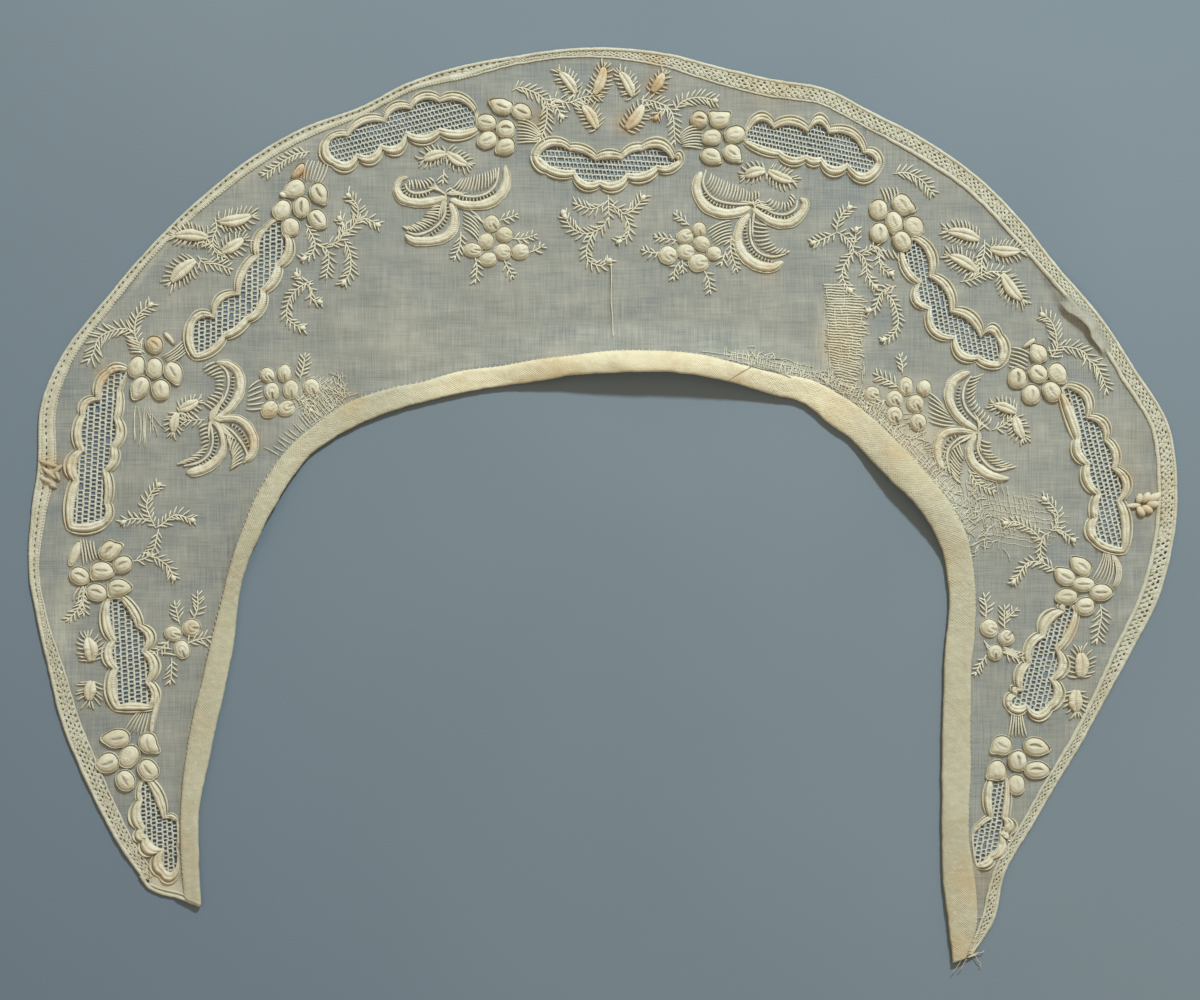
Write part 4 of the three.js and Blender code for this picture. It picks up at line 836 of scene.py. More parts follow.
def make_muslin():
    xs, ys = np.arange(24, 1184, CELL), np.arange(42, 970, CELL)
    gx, gy = np.meshgrid(xs, ys, indexing='ij')
    cx, cy = (gx[:-1, :-1] + CELL / 2), (gy[:-1, :-1] + CELL / 2)
    centres = np.stack([cx.ravel(), cy.ravel()], 1)
    inner, outer = across(np.minimum(TAPE_W * .55, TAPE_W)), across(SPAN - LACE_W * .72)
    poly = np.vstack([inner, outer[::-1], [[144, 879], [150, 886], [163, 892], [181, 896], [199, 903]]])
    keep = inside(centres, poly)
    segs_a, segs_b = [poly], [np.roll(poly, -1, 0)]
    for rows in WINDOWS.values():
        hole = outline(rows, .5)
        lo, hi = hole.min(0) - 3, hole.max(0) + 3
        box = keep & (centres[:, 0] > lo[0]) & (centres[:, 0] < hi[0]) & (centres[:, 1] > lo[1]) & (centres[:, 1] < hi[1])
        idx = np.nonzero(box)[0]
        keep[idx[inside(centres[idx], hole)]] = False
        segs_a.append(hole)
        segs_b.append(np.roll(hole, -1, 0))
    cells = keep.reshape(cx.shape)
    ny = len(ys)
    i, j = np.nonzero(cells)
    quads = np.stack([i * ny + j, (i + 1) * ny + j, (i + 1) * ny + j + 1, i * ny + j + 1], 1)
    used = np.unique(quads)
    count = np.bincount(quads.ravel(), minlength=gx.size)
    pts = np.stack([gx.ravel(), gy.ravel()], 1)
    rim = used[count[used] < 4]
    a, b = np.vstack(segs_a), np.vstack(segs_b)
    snapped, dist = nearest_point(pts[rim], a, b)
    ok = dist < CELL * 1.2
    pts[rim[ok]] = snapped[ok]
    remap = np.full(gx.size, -1)
    remap[used] = np.arange(len(used))
    pts = pts[used]
    x, y = pts[:, 0], pts[:, 1]
    tint = np.zeros((len(pts), 3))
    # denser where it was darned or gathered, thinner where it is worn
    dense = .0 * x
    for dx, dy, rx, ry, turn, k in [
            (843, 335, 24, 52, 0, .55), (790, 374, 90, 14, 12, .35), (905, 425, 34, 60, -40, .45), (955, 500, 50, 40, 30, .4),
            (1015, 512, 40, 26, 20, .35), (318, 400, 30, 26, -20, .45), (165, 405, 24, 16, 0, .25), (60, 640, 14, 90, 8, .25),
            (1120, 420, 12, 90, -15, .12), (700, 56, 130, 10, 6, .3), (300, 140, 170, 12, -30, .25), (480, 345, 70, 26, 0, .18),
            (410, 330, 40, 60, 0, .16), (640, 215, 60, 40, 0, .12), (95, 240, 10, 10, 0, .2), (575, 295, 70, 45, 0, .14), (730, 320, 70, 40, 0, .14),
            (1015, 455, 46, 60, 0, .14), (182, 330, 40, 30, 0, .10), (1060, 250, 20, 60, -40, .04), (168, 886, 30, 14, 20, .85),
            (152, 262, 26, 3.4, -56, .34), (163, 250, 24, 3.0, -60, .28), (140, 280, 24, 3.2, -54, .30), (178, 214, 34, 4, -50, .28),
            (214, 168, 40, 4, -38, .22), (98, 332, 22, 3.4, -62, .26), (182, 236, 18, 3.2, -64, .2)]:
        a = math.radians(turn)
        u = ((x - dx) * math.cos(a) + (y - dy) * math.sin(a)) / rx
        v = ((y - dy) * math.cos(a) - (x - dx) * math.sin(a)) / ry
        dense = np.maximum(dense, k * np.exp(-(u * u + v * v) ** 1.5))
    tint[:, 1] = dense
    for dx, dy, r, k in [(470, 345, 26, .12), (620, 300, 50, .1), (690, 300, 40, .12), (980, 560, 40, .12), (120, 230, 12, .1)]:
        tint[:, 2] = np.maximum(tint[:, 2], k * np.exp(-((x - dx) ** 2 + (y - dy) ** 2) / (r * r)))
    soup = Soup()
    soup.add(np.stack([x, y, np.full(len(x), CLOTH)], 1), [remap[quads]], np.zeros(3), tint)
    # the cloth lapped over itself along the crease, its edge turned under
    line = spline([(1056, 300), (1060, 306), (1066, 312), (1074, 317), (1082, 323), (1088, 331), (1091, 339), (1098, 348), (1104, 358)], 44)
    out = np.array([.72, -.69])
    w = np.array([3.4, 1.6, .5, .0, .35, 1.2, 3.0, 6.0, 9.5, 13.0, 16.0, 18.5])
    up = np.array([.62, .64, .80, 1.05, 1.22, 1.28, 1.22, 1.02, .72, .42, .20, .06])
    t = np.linspace(0, 1, len(line))
    fade = np.sin(np.pi * np.clip(.04 + .92 * t, 0, 1)) ** .55
    wave = value_noise(t * 9, t * 0 + 3, 41, 2)
    fx = line[:, None] + out * (w[None] + .5 * wave[:, None])[..., None]
    fz = CLOTH + .04 + (up[None] * (fade * (1 + .18 * wave))[:, None])
    flap = np.concatenate([fx, fz[..., None]], 2).reshape(-1, 3)
    i, j = np.meshgrid(np.arange(len(line) - 1), np.arange(len(w) - 1), indexing='ij')
    i, j = i.ravel(), j.ravel()
    m = len(w)
    ftint = np.zeros((len(flap), 3))
    ftint[:, 1] = np.tile(np.interp(w, [0, 6, 18], [.60, .35, .0]), len(line))
    thin = np.maximum(smoothstep((np.abs(t - .5) - .33) / .17)[:, None], smoothstep((w - 7) / 9)[None])
    ftint[:, 2] = thin.ravel()
    ftint[:, 1] *= 1 - thin.ravel()
    soup.add(flap, [np.stack([i * m + j, (i + 1) * m + j, (i + 1) * m + j + 1, i * m + j + 1], 1)], np.zeros(3), ftint)
    return finish_mesh('muslin_ground_cloth', soup, M_MUSLIN, ['muslin_ground'])


# -------------------------------------------------------------------- tape ---
def make_tape():
    """A bias strip folded over the muslin's neck edge, pressed flat."""
    s = np.concatenate([[0], np.cumsum(np.linalg.norm(np.diff(NECK, axis=0), axis=1))]) * UNIT
    w = TAPE_W * UNIT * (1 + .025 * value_noise(s / 9, s * 0, 71, 2))
    # the cloth's middle line: share of the width from the fold, and height
    share = np.array([.92, .6, .3, .12, .04, 0, .02, .07, .14, .22, .30, .38, .46, .54, .62, .70, .78, .86, .92, .97, 1.0])
    high = np.array([.30, .28, .26, .28, .42, .86, 1.42, 1.70, 1.82, 1.86, 1.88, 1.88, 1.88, 1.87, 1.86, 1.85, 1.84, 1.81, 1.74, 1.58, 1.38])
    pd = share[None] * w[:, None]
    pd[:, 3:9] = np.minimum(pd[:, 3:9], np.array([.7, .12, 0, .02, .14, .42])[None] * np.minimum(1, w / 5)[:, None])
    pz = np.broadcast_to(high, pd.shape).copy()
    soft = value_noise(s[:, None] / 7 + 0 * share[None], pd / 3.2, 72, 3)
    dents = value_noise(s[:, None] / 2.2 + pd * .25, pd / 1.6 - s[:, None] * .1, 76, 2)
    top = smoothstep((np.arange(len(share)) - 6) / 2)[None]
    pz += (.17 * soft + .11 * dents) * top
    pz[:, 18:] += .08 * value_noise(s / 1.7, s * 0 + 5, 73)[:, None]
    pz[:, 5:8] += .06 * value_noise(s / 2.7, s * 0 + 9, 74)[:, None]
    pd[:, 4:9] += (.17 * value_noise(s / 3.1, s * 0 + 2, 75) + .10 * value_noise(s / .9, s * 0 + 6, 77))[:, None]
    # the joined end of the strip, a slanting crease at the centre back's right
    sx = NECK[:, None, 0] + (EDGE - NECK)[:, None, 0] * (pd / UNIT / SPAN[:, None])
    sy = NECK[:, None, 1] + (EDGE - NECK)[:, None, 1] * (pd / UNIT / SPAN[:, None])
    cross = (sx - 740) * .47 + (sy - 374) * .88
    pz -= .16 * np.exp(-(cross / 1.3) ** 2) * top * (np.abs(sx - 740) < 22)
    half = .17
    line = np.stack([pd, pz], 2)
    t = np.gradient(line, axis=1)
    t /= np.maximum(np.linalg.norm(t, axis=2, keepdims=True), 1e-9)
    nrm = np.stack([-t[..., 1], t[..., 0]], 2)
    outer, inner = line + nrm * half, line - nrm * half
    sect = np.concatenate([outer, inner[:, ::-1]], 1)
    d = sect[..., 0] / UNIT
    xy = NECK[:, None] + (EDGE - NECK)[:, None] * (d / SPAN[:, None])[..., None]
    rings = np.concatenate([xy, sect[..., 1:2]], 2)[None]
    st = np.zeros(rings.shape)
    st[0, ..., 0] = s[:, None]
    st[0, ..., 1] = sect[..., 0]
    soup = Soup()
    skin(soup, rings, st)
    # cleaner and creamier over the back of the neck than down the fronts
    px, py = soup.v[0][:, 0], soup.v[0][:, 1]
    tint = np.zeros((len(px), 3))
    tint[:, 2] = smoothstep((px - 380) / 90) * smoothstep((900 - px) / 90) * smoothstep((470 - py) / 60)
    tint[:, 2] = np.maximum(tint[:, 2], .12 * smoothstep((px - 860) / 40) * smoothstep((600 - py) / 120) * (py > 400))
    soup.tint[0] = tint
    ob = finish_mesh('neck_tape_cloth', soup, M_TAPE, ['neck_tape'], ramp=False)
    return ob, s[-1], (w * 2 + 2.0)


def make_tape_stitches():
    """Slip stitches along the tape's outer edge."""
    soup = Soup()
    s = np.concatenate([[0], np.cumsum(np.linalg.norm(np.diff(NECK, axis=0), axis=1))])
    count = int(s[-1] / 5.2)
    q = np.interp(np.linspace(4, s[-1] - 4, count) + RNG.uniform(-.8, .8, count), s, np.arange(FINE + 1))
    k = q.astype(int).clip(0, FINE - 1)
    base = NECK[k] + (NECK[k + 1] - NECK[k]) * (q - k)[:, None]
    out = EDGE[k] - NECK[k]
    out /= np.linalg.norm(out, axis=1)[:, None]
    tan = np.stack([-out[:, 1], out[:, 0]], 1)
    w = TAPE_W[k][:, None]
    A = base + out * (w - 1.6) - tan * 1.1
    B = base + out * (w + 1.4) + tan * 1.1
    t = np.linspace(0, 1, 5)
    P = A[:, None] + (B - A)[:, None] * t[None, :, None]
    z = np.array([1.62, 1.76, 1.58, 1.24, .95])
    P = np.concatenate([P, np.broadcast_to(z[None, :, None], (count, 5, 1))], 2)
    tubes(soup, P, .42, sides=4)
    # the slanting join of the strip and a fold beside it, drawn darker: painted shade in the crease
    for pts in ([(753, 364), (748, 369), (739, 374), (731, 379), (727, 382)], [(752, 366), (762, 368), (776, 372), (790, 378)]):
        q = spline(pts, 20)
        tubes(soup, np.concatenate([q, np.full((20, 1), 1.98)], 1)[None], .5, sides=5, flat=.6, dark=.5)
    return finish_mesh('tape_slip_stitches', soup, M_PALE, ramp=False)


# -------------------------------------------------------------------- lace ---
def lace_frame():
    s = np.concatenate([[0], np.cumsum(np.linalg.norm(np.diff(EDGE, axis=0), axis=1))])
    inward = NECK - EDGE
    inward /= np.linalg.norm(inward, axis=1)[:, None]
    # square to the edge rather than along the section
    t, n = normals(EDGE)
    side = np.sign((n * inward).sum(1))[:, None]
    n = n * side
    inward = n * .75 + inward * .25
    inward /= np.linalg.norm(inward, axis=1)[:, None]
    return s, inward


LACE_S, LACE_IN = lace_frame()


def lace_at(s, w, z):
    """Points of the edging: s along its outer edge, w inward, chart units."""
    s = np.asarray(s, float)
    f = np.interp(s, LACE_S, np.arange(FINE + 1))
    k = np.clip(f.astype(int), 0, FINE - 1)
    t = (f - k)[..., None]
    e = EDGE[k] * (1 - t) + EDGE[k + 1] * t
    n = LACE_IN[k] * (1 - t) + LACE_IN[k + 1] * t
    xy = e + n * np.asarray(w)[..., None]
    return np.concatenate([xy, np.broadcast_to(z, xy.shape[:-1])[..., None]], -1)


def at_row(q):
    return float(np.interp(q, QF, LACE_S))


def make_lace():
    """Openwork edging: an outer cord, wavy rows and slanting bars between them."""
    soup = Soup()
    width = lambda s: np.interp(s, LACE_S, LACE_W)
    total = LACE_S[-1]
    # a cord along the very edge
    s = np.linspace(0, total, 1700)
    wob = value_noise(s / 14, s * 0, 91)
    lump = value_noise(s / 3, s * 0 + 4, 92, 2)
    nub = value_noise(s / 1.5, s * 0 + 8, 93, 2)
    tubes(soup, lace_at(s, 1.9 + .4 * wob + .35 * nub, .66 + .06 * wob)[None], 1.85 + .26 * lump + .30 * nub, sides=6, flat=.7)
    # the muslin's own edge, rolled and whipped over where the edging is joined
    joined = width(s) + .5 * value_noise(s / 9, s * 0, 94)
    right = smoothstep((s - at_row(27)) / 60) * (1 - .6 * smoothstep((s - at_row(40)) / 40))
    tubes(soup, lace_at(s, joined + .4 + 1.0 * right, .66)[None], (1.15 + 1.15 * right) * (1 + .12 * value_noise(s / 5, s * 0, 95, 2)), sides=6, flat=.42)
    # openwork stretches: from and to (table rows), rows of holes
    for q0, q1, rows in [(0.0, 6.4, 4), (19.0, 36.0, 4), (35.8, 45.0, 3)]:
        s0, s1 = at_row(q0), at_row(q1)
        s = np.arange(s0, s1, 1.4)
        w = width(s)
        body = np.clip(w / 14, .60, 1.25)
        lines = []
        for r in range(rows + 1):
            f = 3.9 + (w - 4.6) * r / rows
            f = f + .42 * np.sin(2 * np.pi * s / 6.2 + r * np.pi) + .3 * value_noise(s / 4, s * 0 + r, 96)
            lines.append(f)
            if r < rows:
                tubes(soup, lace_at(s, f, .60 + .06 * np.sin(2 * np.pi * s / 6.2 + r))[None], body * (1.08 + .22 * value_noise(s / 2.4, s * 0 + r, 97, 2)), sides=5, flat=.7)
        bars_a, bars_b = [], []
        for r in range(rows):
            pos = np.arange(s0 + (3.1 if r % 2 else 0), s1 - 6, 6.2)
            pos = pos + RNG.uniform(-.6, .6, len(pos))
            for shift, lean, chance in [(0, 2.6, 1.), (1.5, 2.4, .8), (3.0, 2.2, .32)]:
                fa, fb = np.interp(pos + shift, s, lines[r]), np.interp(pos + shift + lean, s, lines[r + 1])
                ok = (fb - fa > .9) & (RNG.uniform(0, 1, len(pos)) < chance)
                bars_a.append(np.stack([pos + shift, fa], 1)[ok])
                bars_b.append(np.stack([pos + shift + lean, fb], 1)[ok])
        a, b = np.vstack(bars_a), np.vstack(bars_b)
        t = np.linspace(0, 1, 4)
        ss = a[:, :1] + (b[:, :1] - a[:, :1]) * t[None]
        ww = a[:, 1:] + (b[:, 1:] - a[:, 1:]) * t[None]
        tubes(soup, lace_at(ss, ww, .60), (RNG.uniform(.9, 1.35, len(a)) * np.interp(a[:, 0], s, body))[:, None], sides=5, flat=.7)
    # the edging turned along the bottom of the left point
    for pts, r in (([(141, 875), (150, 887), (163, 893), (180, 897), (201, 905)], 1.8), ([(150, 884), (163, 889), (181, 893), (199, 899)], 1.2)):
        q = spline(pts, 46)
        w2 = value_noise(np.arange(46) / 3.0, np.zeros(46) + r, 98, 2)
        tubes(soup, np.concatenate([q, (.70 + .05 * w2)[:, None]], 1)[None], r * (1 + .16 * w2), sides=8, flat=.7)
    return finish_mesh('lace_edging_threads', soup, M_LACE, ['lace_edging'])


def make_hem():
    """The left edge, where the edging is folded under a rolled hem with one row of holes."""
    soup = Soup()
    s = np.arange(at_row(5.6), at_row(20.2), 1.4)
    w = np.interp(s, LACE_S, LACE_W)
    fade = np.minimum(1, np.minimum((s - s[0]) / 60, (s[-1] - s) / 60))
    prof = np.array([.0, .06, .2, .34, .42, .52, .7, .86, 1.0, 1.0, .0])
    zz = np.array([.12, .62, .86, .66, .5, .68, .92, .82, .56, .14, .1])
    f = 2.2 + prof[None] * (w * 1.0 - 1.4)[:, None] * (.35 + .65 * fade[:, None])
    f = f + .3 * value_noise(s / 6, s * 0, 101)[:, None]
    z = np.broadcast_to(zz, f.shape) + .10 * value_noise(s / 3.2, s * 0 + 2, 102)[:, None] * (zz > .3)
    ring = lace_at(np.broadcast_to(s[:, None], f.shape), f, z)[None]
    st = np.zeros(ring.shape)
    st[0, ..., 0] = s[:, None] / 1.5
    skin(soup, ring, st, flip=True)
    # the row of small holes, drawn as dark dashes in the fold: painted shade where the holes are
    pos = np.arange(s[0] + 20, s[-1] - 20, 6.6) + RNG.uniform(-.8, .8, int(np.ceil((s[-1] - s[0] - 40) / 6.6)))
    wh = np.interp(pos, LACE_S, LACE_W)
    t = np.linspace(-1, 1, 5)
    ss = pos[:, None] + t[None] * 1.75
    where = np.interp(pos, [at_row(9), at_row(12)], [.42, .16])
    f0 = (2.2 + where * (wh - 1.4))[:, None] + 0 * t[None]
    tubes(soup, lace_at(ss, f0, np.interp(pos, [at_row(9), at_row(12)], [.56, .84])[:, None] + 0 * t[None]), 1.0 * np.sqrt(np.maximum(.05, 1 - t * t)), sides=5, flat=.55, dark=.88)
    # stitches that bind the hem
    pos = np.arange(s[0], s[-1], 3.1)
    wh = np.interp(pos, LACE_S, LACE_W)
    fade = np.minimum(1, np.minimum((pos - s[0]) / 60, (s[-1] - pos) / 60))
    f1 = 2.2 + (wh - 1.4) * (.35 + .65 * fade)
    t = np.linspace(0, 1, 4)
    tubes(soup, lace_at(pos[:, None] + t[None] * 1.2, (f1 - 1.4)[:, None] + 2.4 * t[None], np.array([.8, .9, .75, .6])), .4, sides=4)
    return finish_mesh('left_hem_roll', soup, M_LACE)


# -------------------------------------------------------------------- nets ---
def make_net(key, rows):
    angle, pitch, bar, slant, wild, r_cord, r_bar = NETS[key]
    rng = np.random.default_rng(100 + int(key))
    poly = outline(rows, .22)
    c = poly.mean(0)
    a = math.radians(angle)
    ux, uy = np.array([math.cos(a), math.sin(a)]), np.array([-math.sin(a), math.cos(a)])
    rel = poly - c
    u, v = rel @ ux, rel @ uy
    soup = Soup()
    lines = np.arange(v.min() - pitch, v.max() + pitch, pitch)
    lines = lines + rng.uniform(-.3, .3, len(lines)) * wild * pitch * .5
    grid = np.arange(u.min() - 4, u.max() + 4, bar / 4)

    def off(k, uu):
        return lines[k] + (.12 + .35 * wild) * np.sin(np.pi * uu / bar + k * np.pi) + wild * 1.2 * value_noise(uu / 9, uu * 0 + k * 3.7, 200 + int(key))

    def put(uu, vv):
        return c + uu[..., None] * ux + vv[..., None] * uy
    for k in range(len(lines)):
        p = put(grid, off(k, grid))
        ok = inside(p, poly)
        edges = np.flatnonzero(np.diff(np.concatenate([[0], ok.astype(int), [0]])))
        for s0, s1 in zip(edges[::2], edges[1::2]):
            if s1 - s0 < 3:
                continue
            q = p[s0:s1]
            z = .33 + .05 * np.sin(np.pi * grid[s0:s1] / bar + k)
            r = r_cord * (1 + .16 * value_noise(grid[s0:s1] / 3, grid[s0:s1] * 0 + k, 300) + .12 * np.cos(2 * np.pi * grid[s0:s1] / bar + k * np.pi))
            # strands near the upper right edge, in the border's shadow, are made thinner and painted darker: painted
            # shadow of the border
            in_border_shadow = ~inside(q + [2.2, -5.2], poly)
            for _ in range(3):
                in_border_shadow = (np.roll(in_border_shadow, 1) + 2. * in_border_shadow + np.roll(in_border_shadow, -1)) / 4
            tubes(soup, np.concatenate([q, z[:, None]], 1)[None], (r * (1 - .30 * in_border_shadow))[None], sides=5, flat=.5, dark=(.30 * in_border_shadow)[None, :, None])
    A, B = [], []
    for k in range(len(lines) - 1):
        base = np.arange(grid[0] + (bar / 2 if k % 2 else 0), grid[-1], bar)
        base = base + rng.uniform(-.24, .24, len(base)) * wild * bar
        b2 = base + slant + rng.uniform(-.4, .4, len(base)) * wild * 2
        p0, p1 = put(base, off(k, base)), put(b2, off(k + 1, b2))
        open_ = ~inside((p0 + p1) / 2 + [2.0, -4.6], poly) & (rng.uniform(0, 1, len(base)) < .30)
        ok = (inside(p0, poly) | inside(p1, poly)) & (rng.uniform(0, 1, len(base)) > .05 * wild) & ~open_
        A.append(p0[ok])
        B.append(p1[ok])
    A, B = np.vstack(A), np.vstack(B)
    if len(A):
        t = np.linspace(0, 1, 4)
        P = A[:, None] + (B - A)[:, None] * t[None, :, None]
        P = np.concatenate([P, np.full(P.shape[:2] + (1,), .32)], 2)
        tubes(soup, P, r_bar * rng.uniform(.8, 1.15, len(A))[:, None] * np.array([1.15, .88, .88, 1.15])[None], sides=5, flat=.5)
    return finish_mesh(f'net_panel_{key}_threads', soup, M_NET, [f'net_panel_{key}'])


# ----------------------------------------------------------------- borders ---
B_SHARE = np.array([0, .02, .07, .15, .24, .32, .38, .44, .52, .61, .68, .73, .77, .805, .845, .885, .925, .97, 1.015, 1.05, 1.08])
B_HIGH = np.array([.12, .74, 1.14, 1.44, 1.58, 1.50, 1.34, 1.50, 1.72, 1.68, 1.44, 1.02, .52, .34, .34, .62, 1.04, 1.18, 1.08, .80, .12])


def make_border(key, rows):
    """A padded cord worked round the window, with a thin second cord outside it."""
    soup = Soup()
    rows = np.asarray(rows, float)
    per = 18
    inner, outer, t = scallops(rows, per + 1)
    K = len(rows)
    inner, outer = inner[:, :-1].reshape(-1, 2), outer[:, :-1].reshape(-1, 2)
    n = K * per
    tt = np.tile(t[:-1], K)
    seed = 410 + int(key)
    mid = (inner + outer) / 2
    s = np.concatenate([[0], np.cumsum(np.linalg.norm(np.diff(mid, axis=0), axis=1))])
    ring = 2 * np.pi * s / (s[-1] + np.linalg.norm(mid[0] - mid[-1]))
    loop = (s[-1] / (2 * np.pi)) * np.stack([np.cos(ring), np.sin(ring)], 1)        # seamless noise

    def wave(size, k):
        return value_noise(loop[:, 0] / size + k * 7, loop[:, 1] / size + k * 3, seed + k, 2)
    seam, lump, sway = wave(6, 1), wave(4.4, 2), wave(9, 3)
    bend = np.where((B_SHARE > .1) & (B_SHARE < .6), 1, 0)
    share = B_SHARE[None] + .050 * seam[:, None] * bend[None] + .040 * sway[:, None] * (B_SHARE[None] * (1 - B_SHARE[None]) * 4)
    xy = inner[:, None] + (outer - inner)[:, None] * share[..., None]
    bandw = np.repeat(rows[:, 3], per)
    for _ in range(10):
        bandw = (np.roll(bandw, 1) + bandw * 2 + np.roll(bandw, -1)) / 4
    tall = np.clip(bandw / 9.5, .5, 1.05)
    near_cusp = np.minimum(tt, 1 - tt) * per
    tuck = 1.05 - .36 * np.exp(-(near_cusp / 2.0) ** 2) * (B_SHARE[None, :] > -1)[:, 0]
    z = .12 + (B_HIGH - .12)[None] * (tall * tuck)[:, None]
    lumps = .16 * lump[:, None] * np.exp(-((B_SHARE - .36) / .24) ** 2)[None] + .42 * wave(3.6, 5)[:, None] * np.exp(-((B_SHARE - .57) / .13) ** 2)[None]
    lumps = lumps + .42 * wave(3.4, 6)[:, None] * np.exp(-((B_SHARE - .19) / .12) ** 2)[None]
    lumps = lumps + .10 * wave(2.6, 4)[:, None] * np.exp(-((B_SHARE - .97) / .05) ** 2)[None]
    z = z + lumps * (z > .3)
    rings = np.concatenate([xy, z[..., None]], 2)[None]
    st = np.empty(rings.shape)
    st[0, ..., 0] = s[:, None] / 1.8 + .9 * np.abs(B_SHARE - .37)[None] * 3
    st[0, ..., 1] = B_SHARE
    st[0, ..., 2] = (.4 + .4 * sway)[:, None]
    # painted shade in the groove before the outer cord, in the seam between the ridges and where the scallops tuck in
    dark = .36 * np.exp(-((B_SHARE - .82) / .045) ** 2)[None] + .17 * np.exp(-((B_SHARE - .38) / .035) ** 2)[None]
    dark = dark * (1 + .35 * wave(3, 7)[:, None]) + .20 * np.exp(-(near_cusp / 1.1) ** 2)[:, None] * (B_SHARE > .30)[None]
    skin(soup, rings, st, np.clip(dark, 0, .8)[None], wrap=True, flip=True)
    if key == '02':
        band(soup, [[158, 692, 2.6], [158, 702, 3.4], [155, 714, 3.6], [153, 724, 3.4], [152, 733, 2.2]], [[150, 700], [149, 712], [147, 724]], 5)
    return finish_mesh(f'window_border_{key}_satin', soup, M_SATIN, [f'window_border_{key}'])


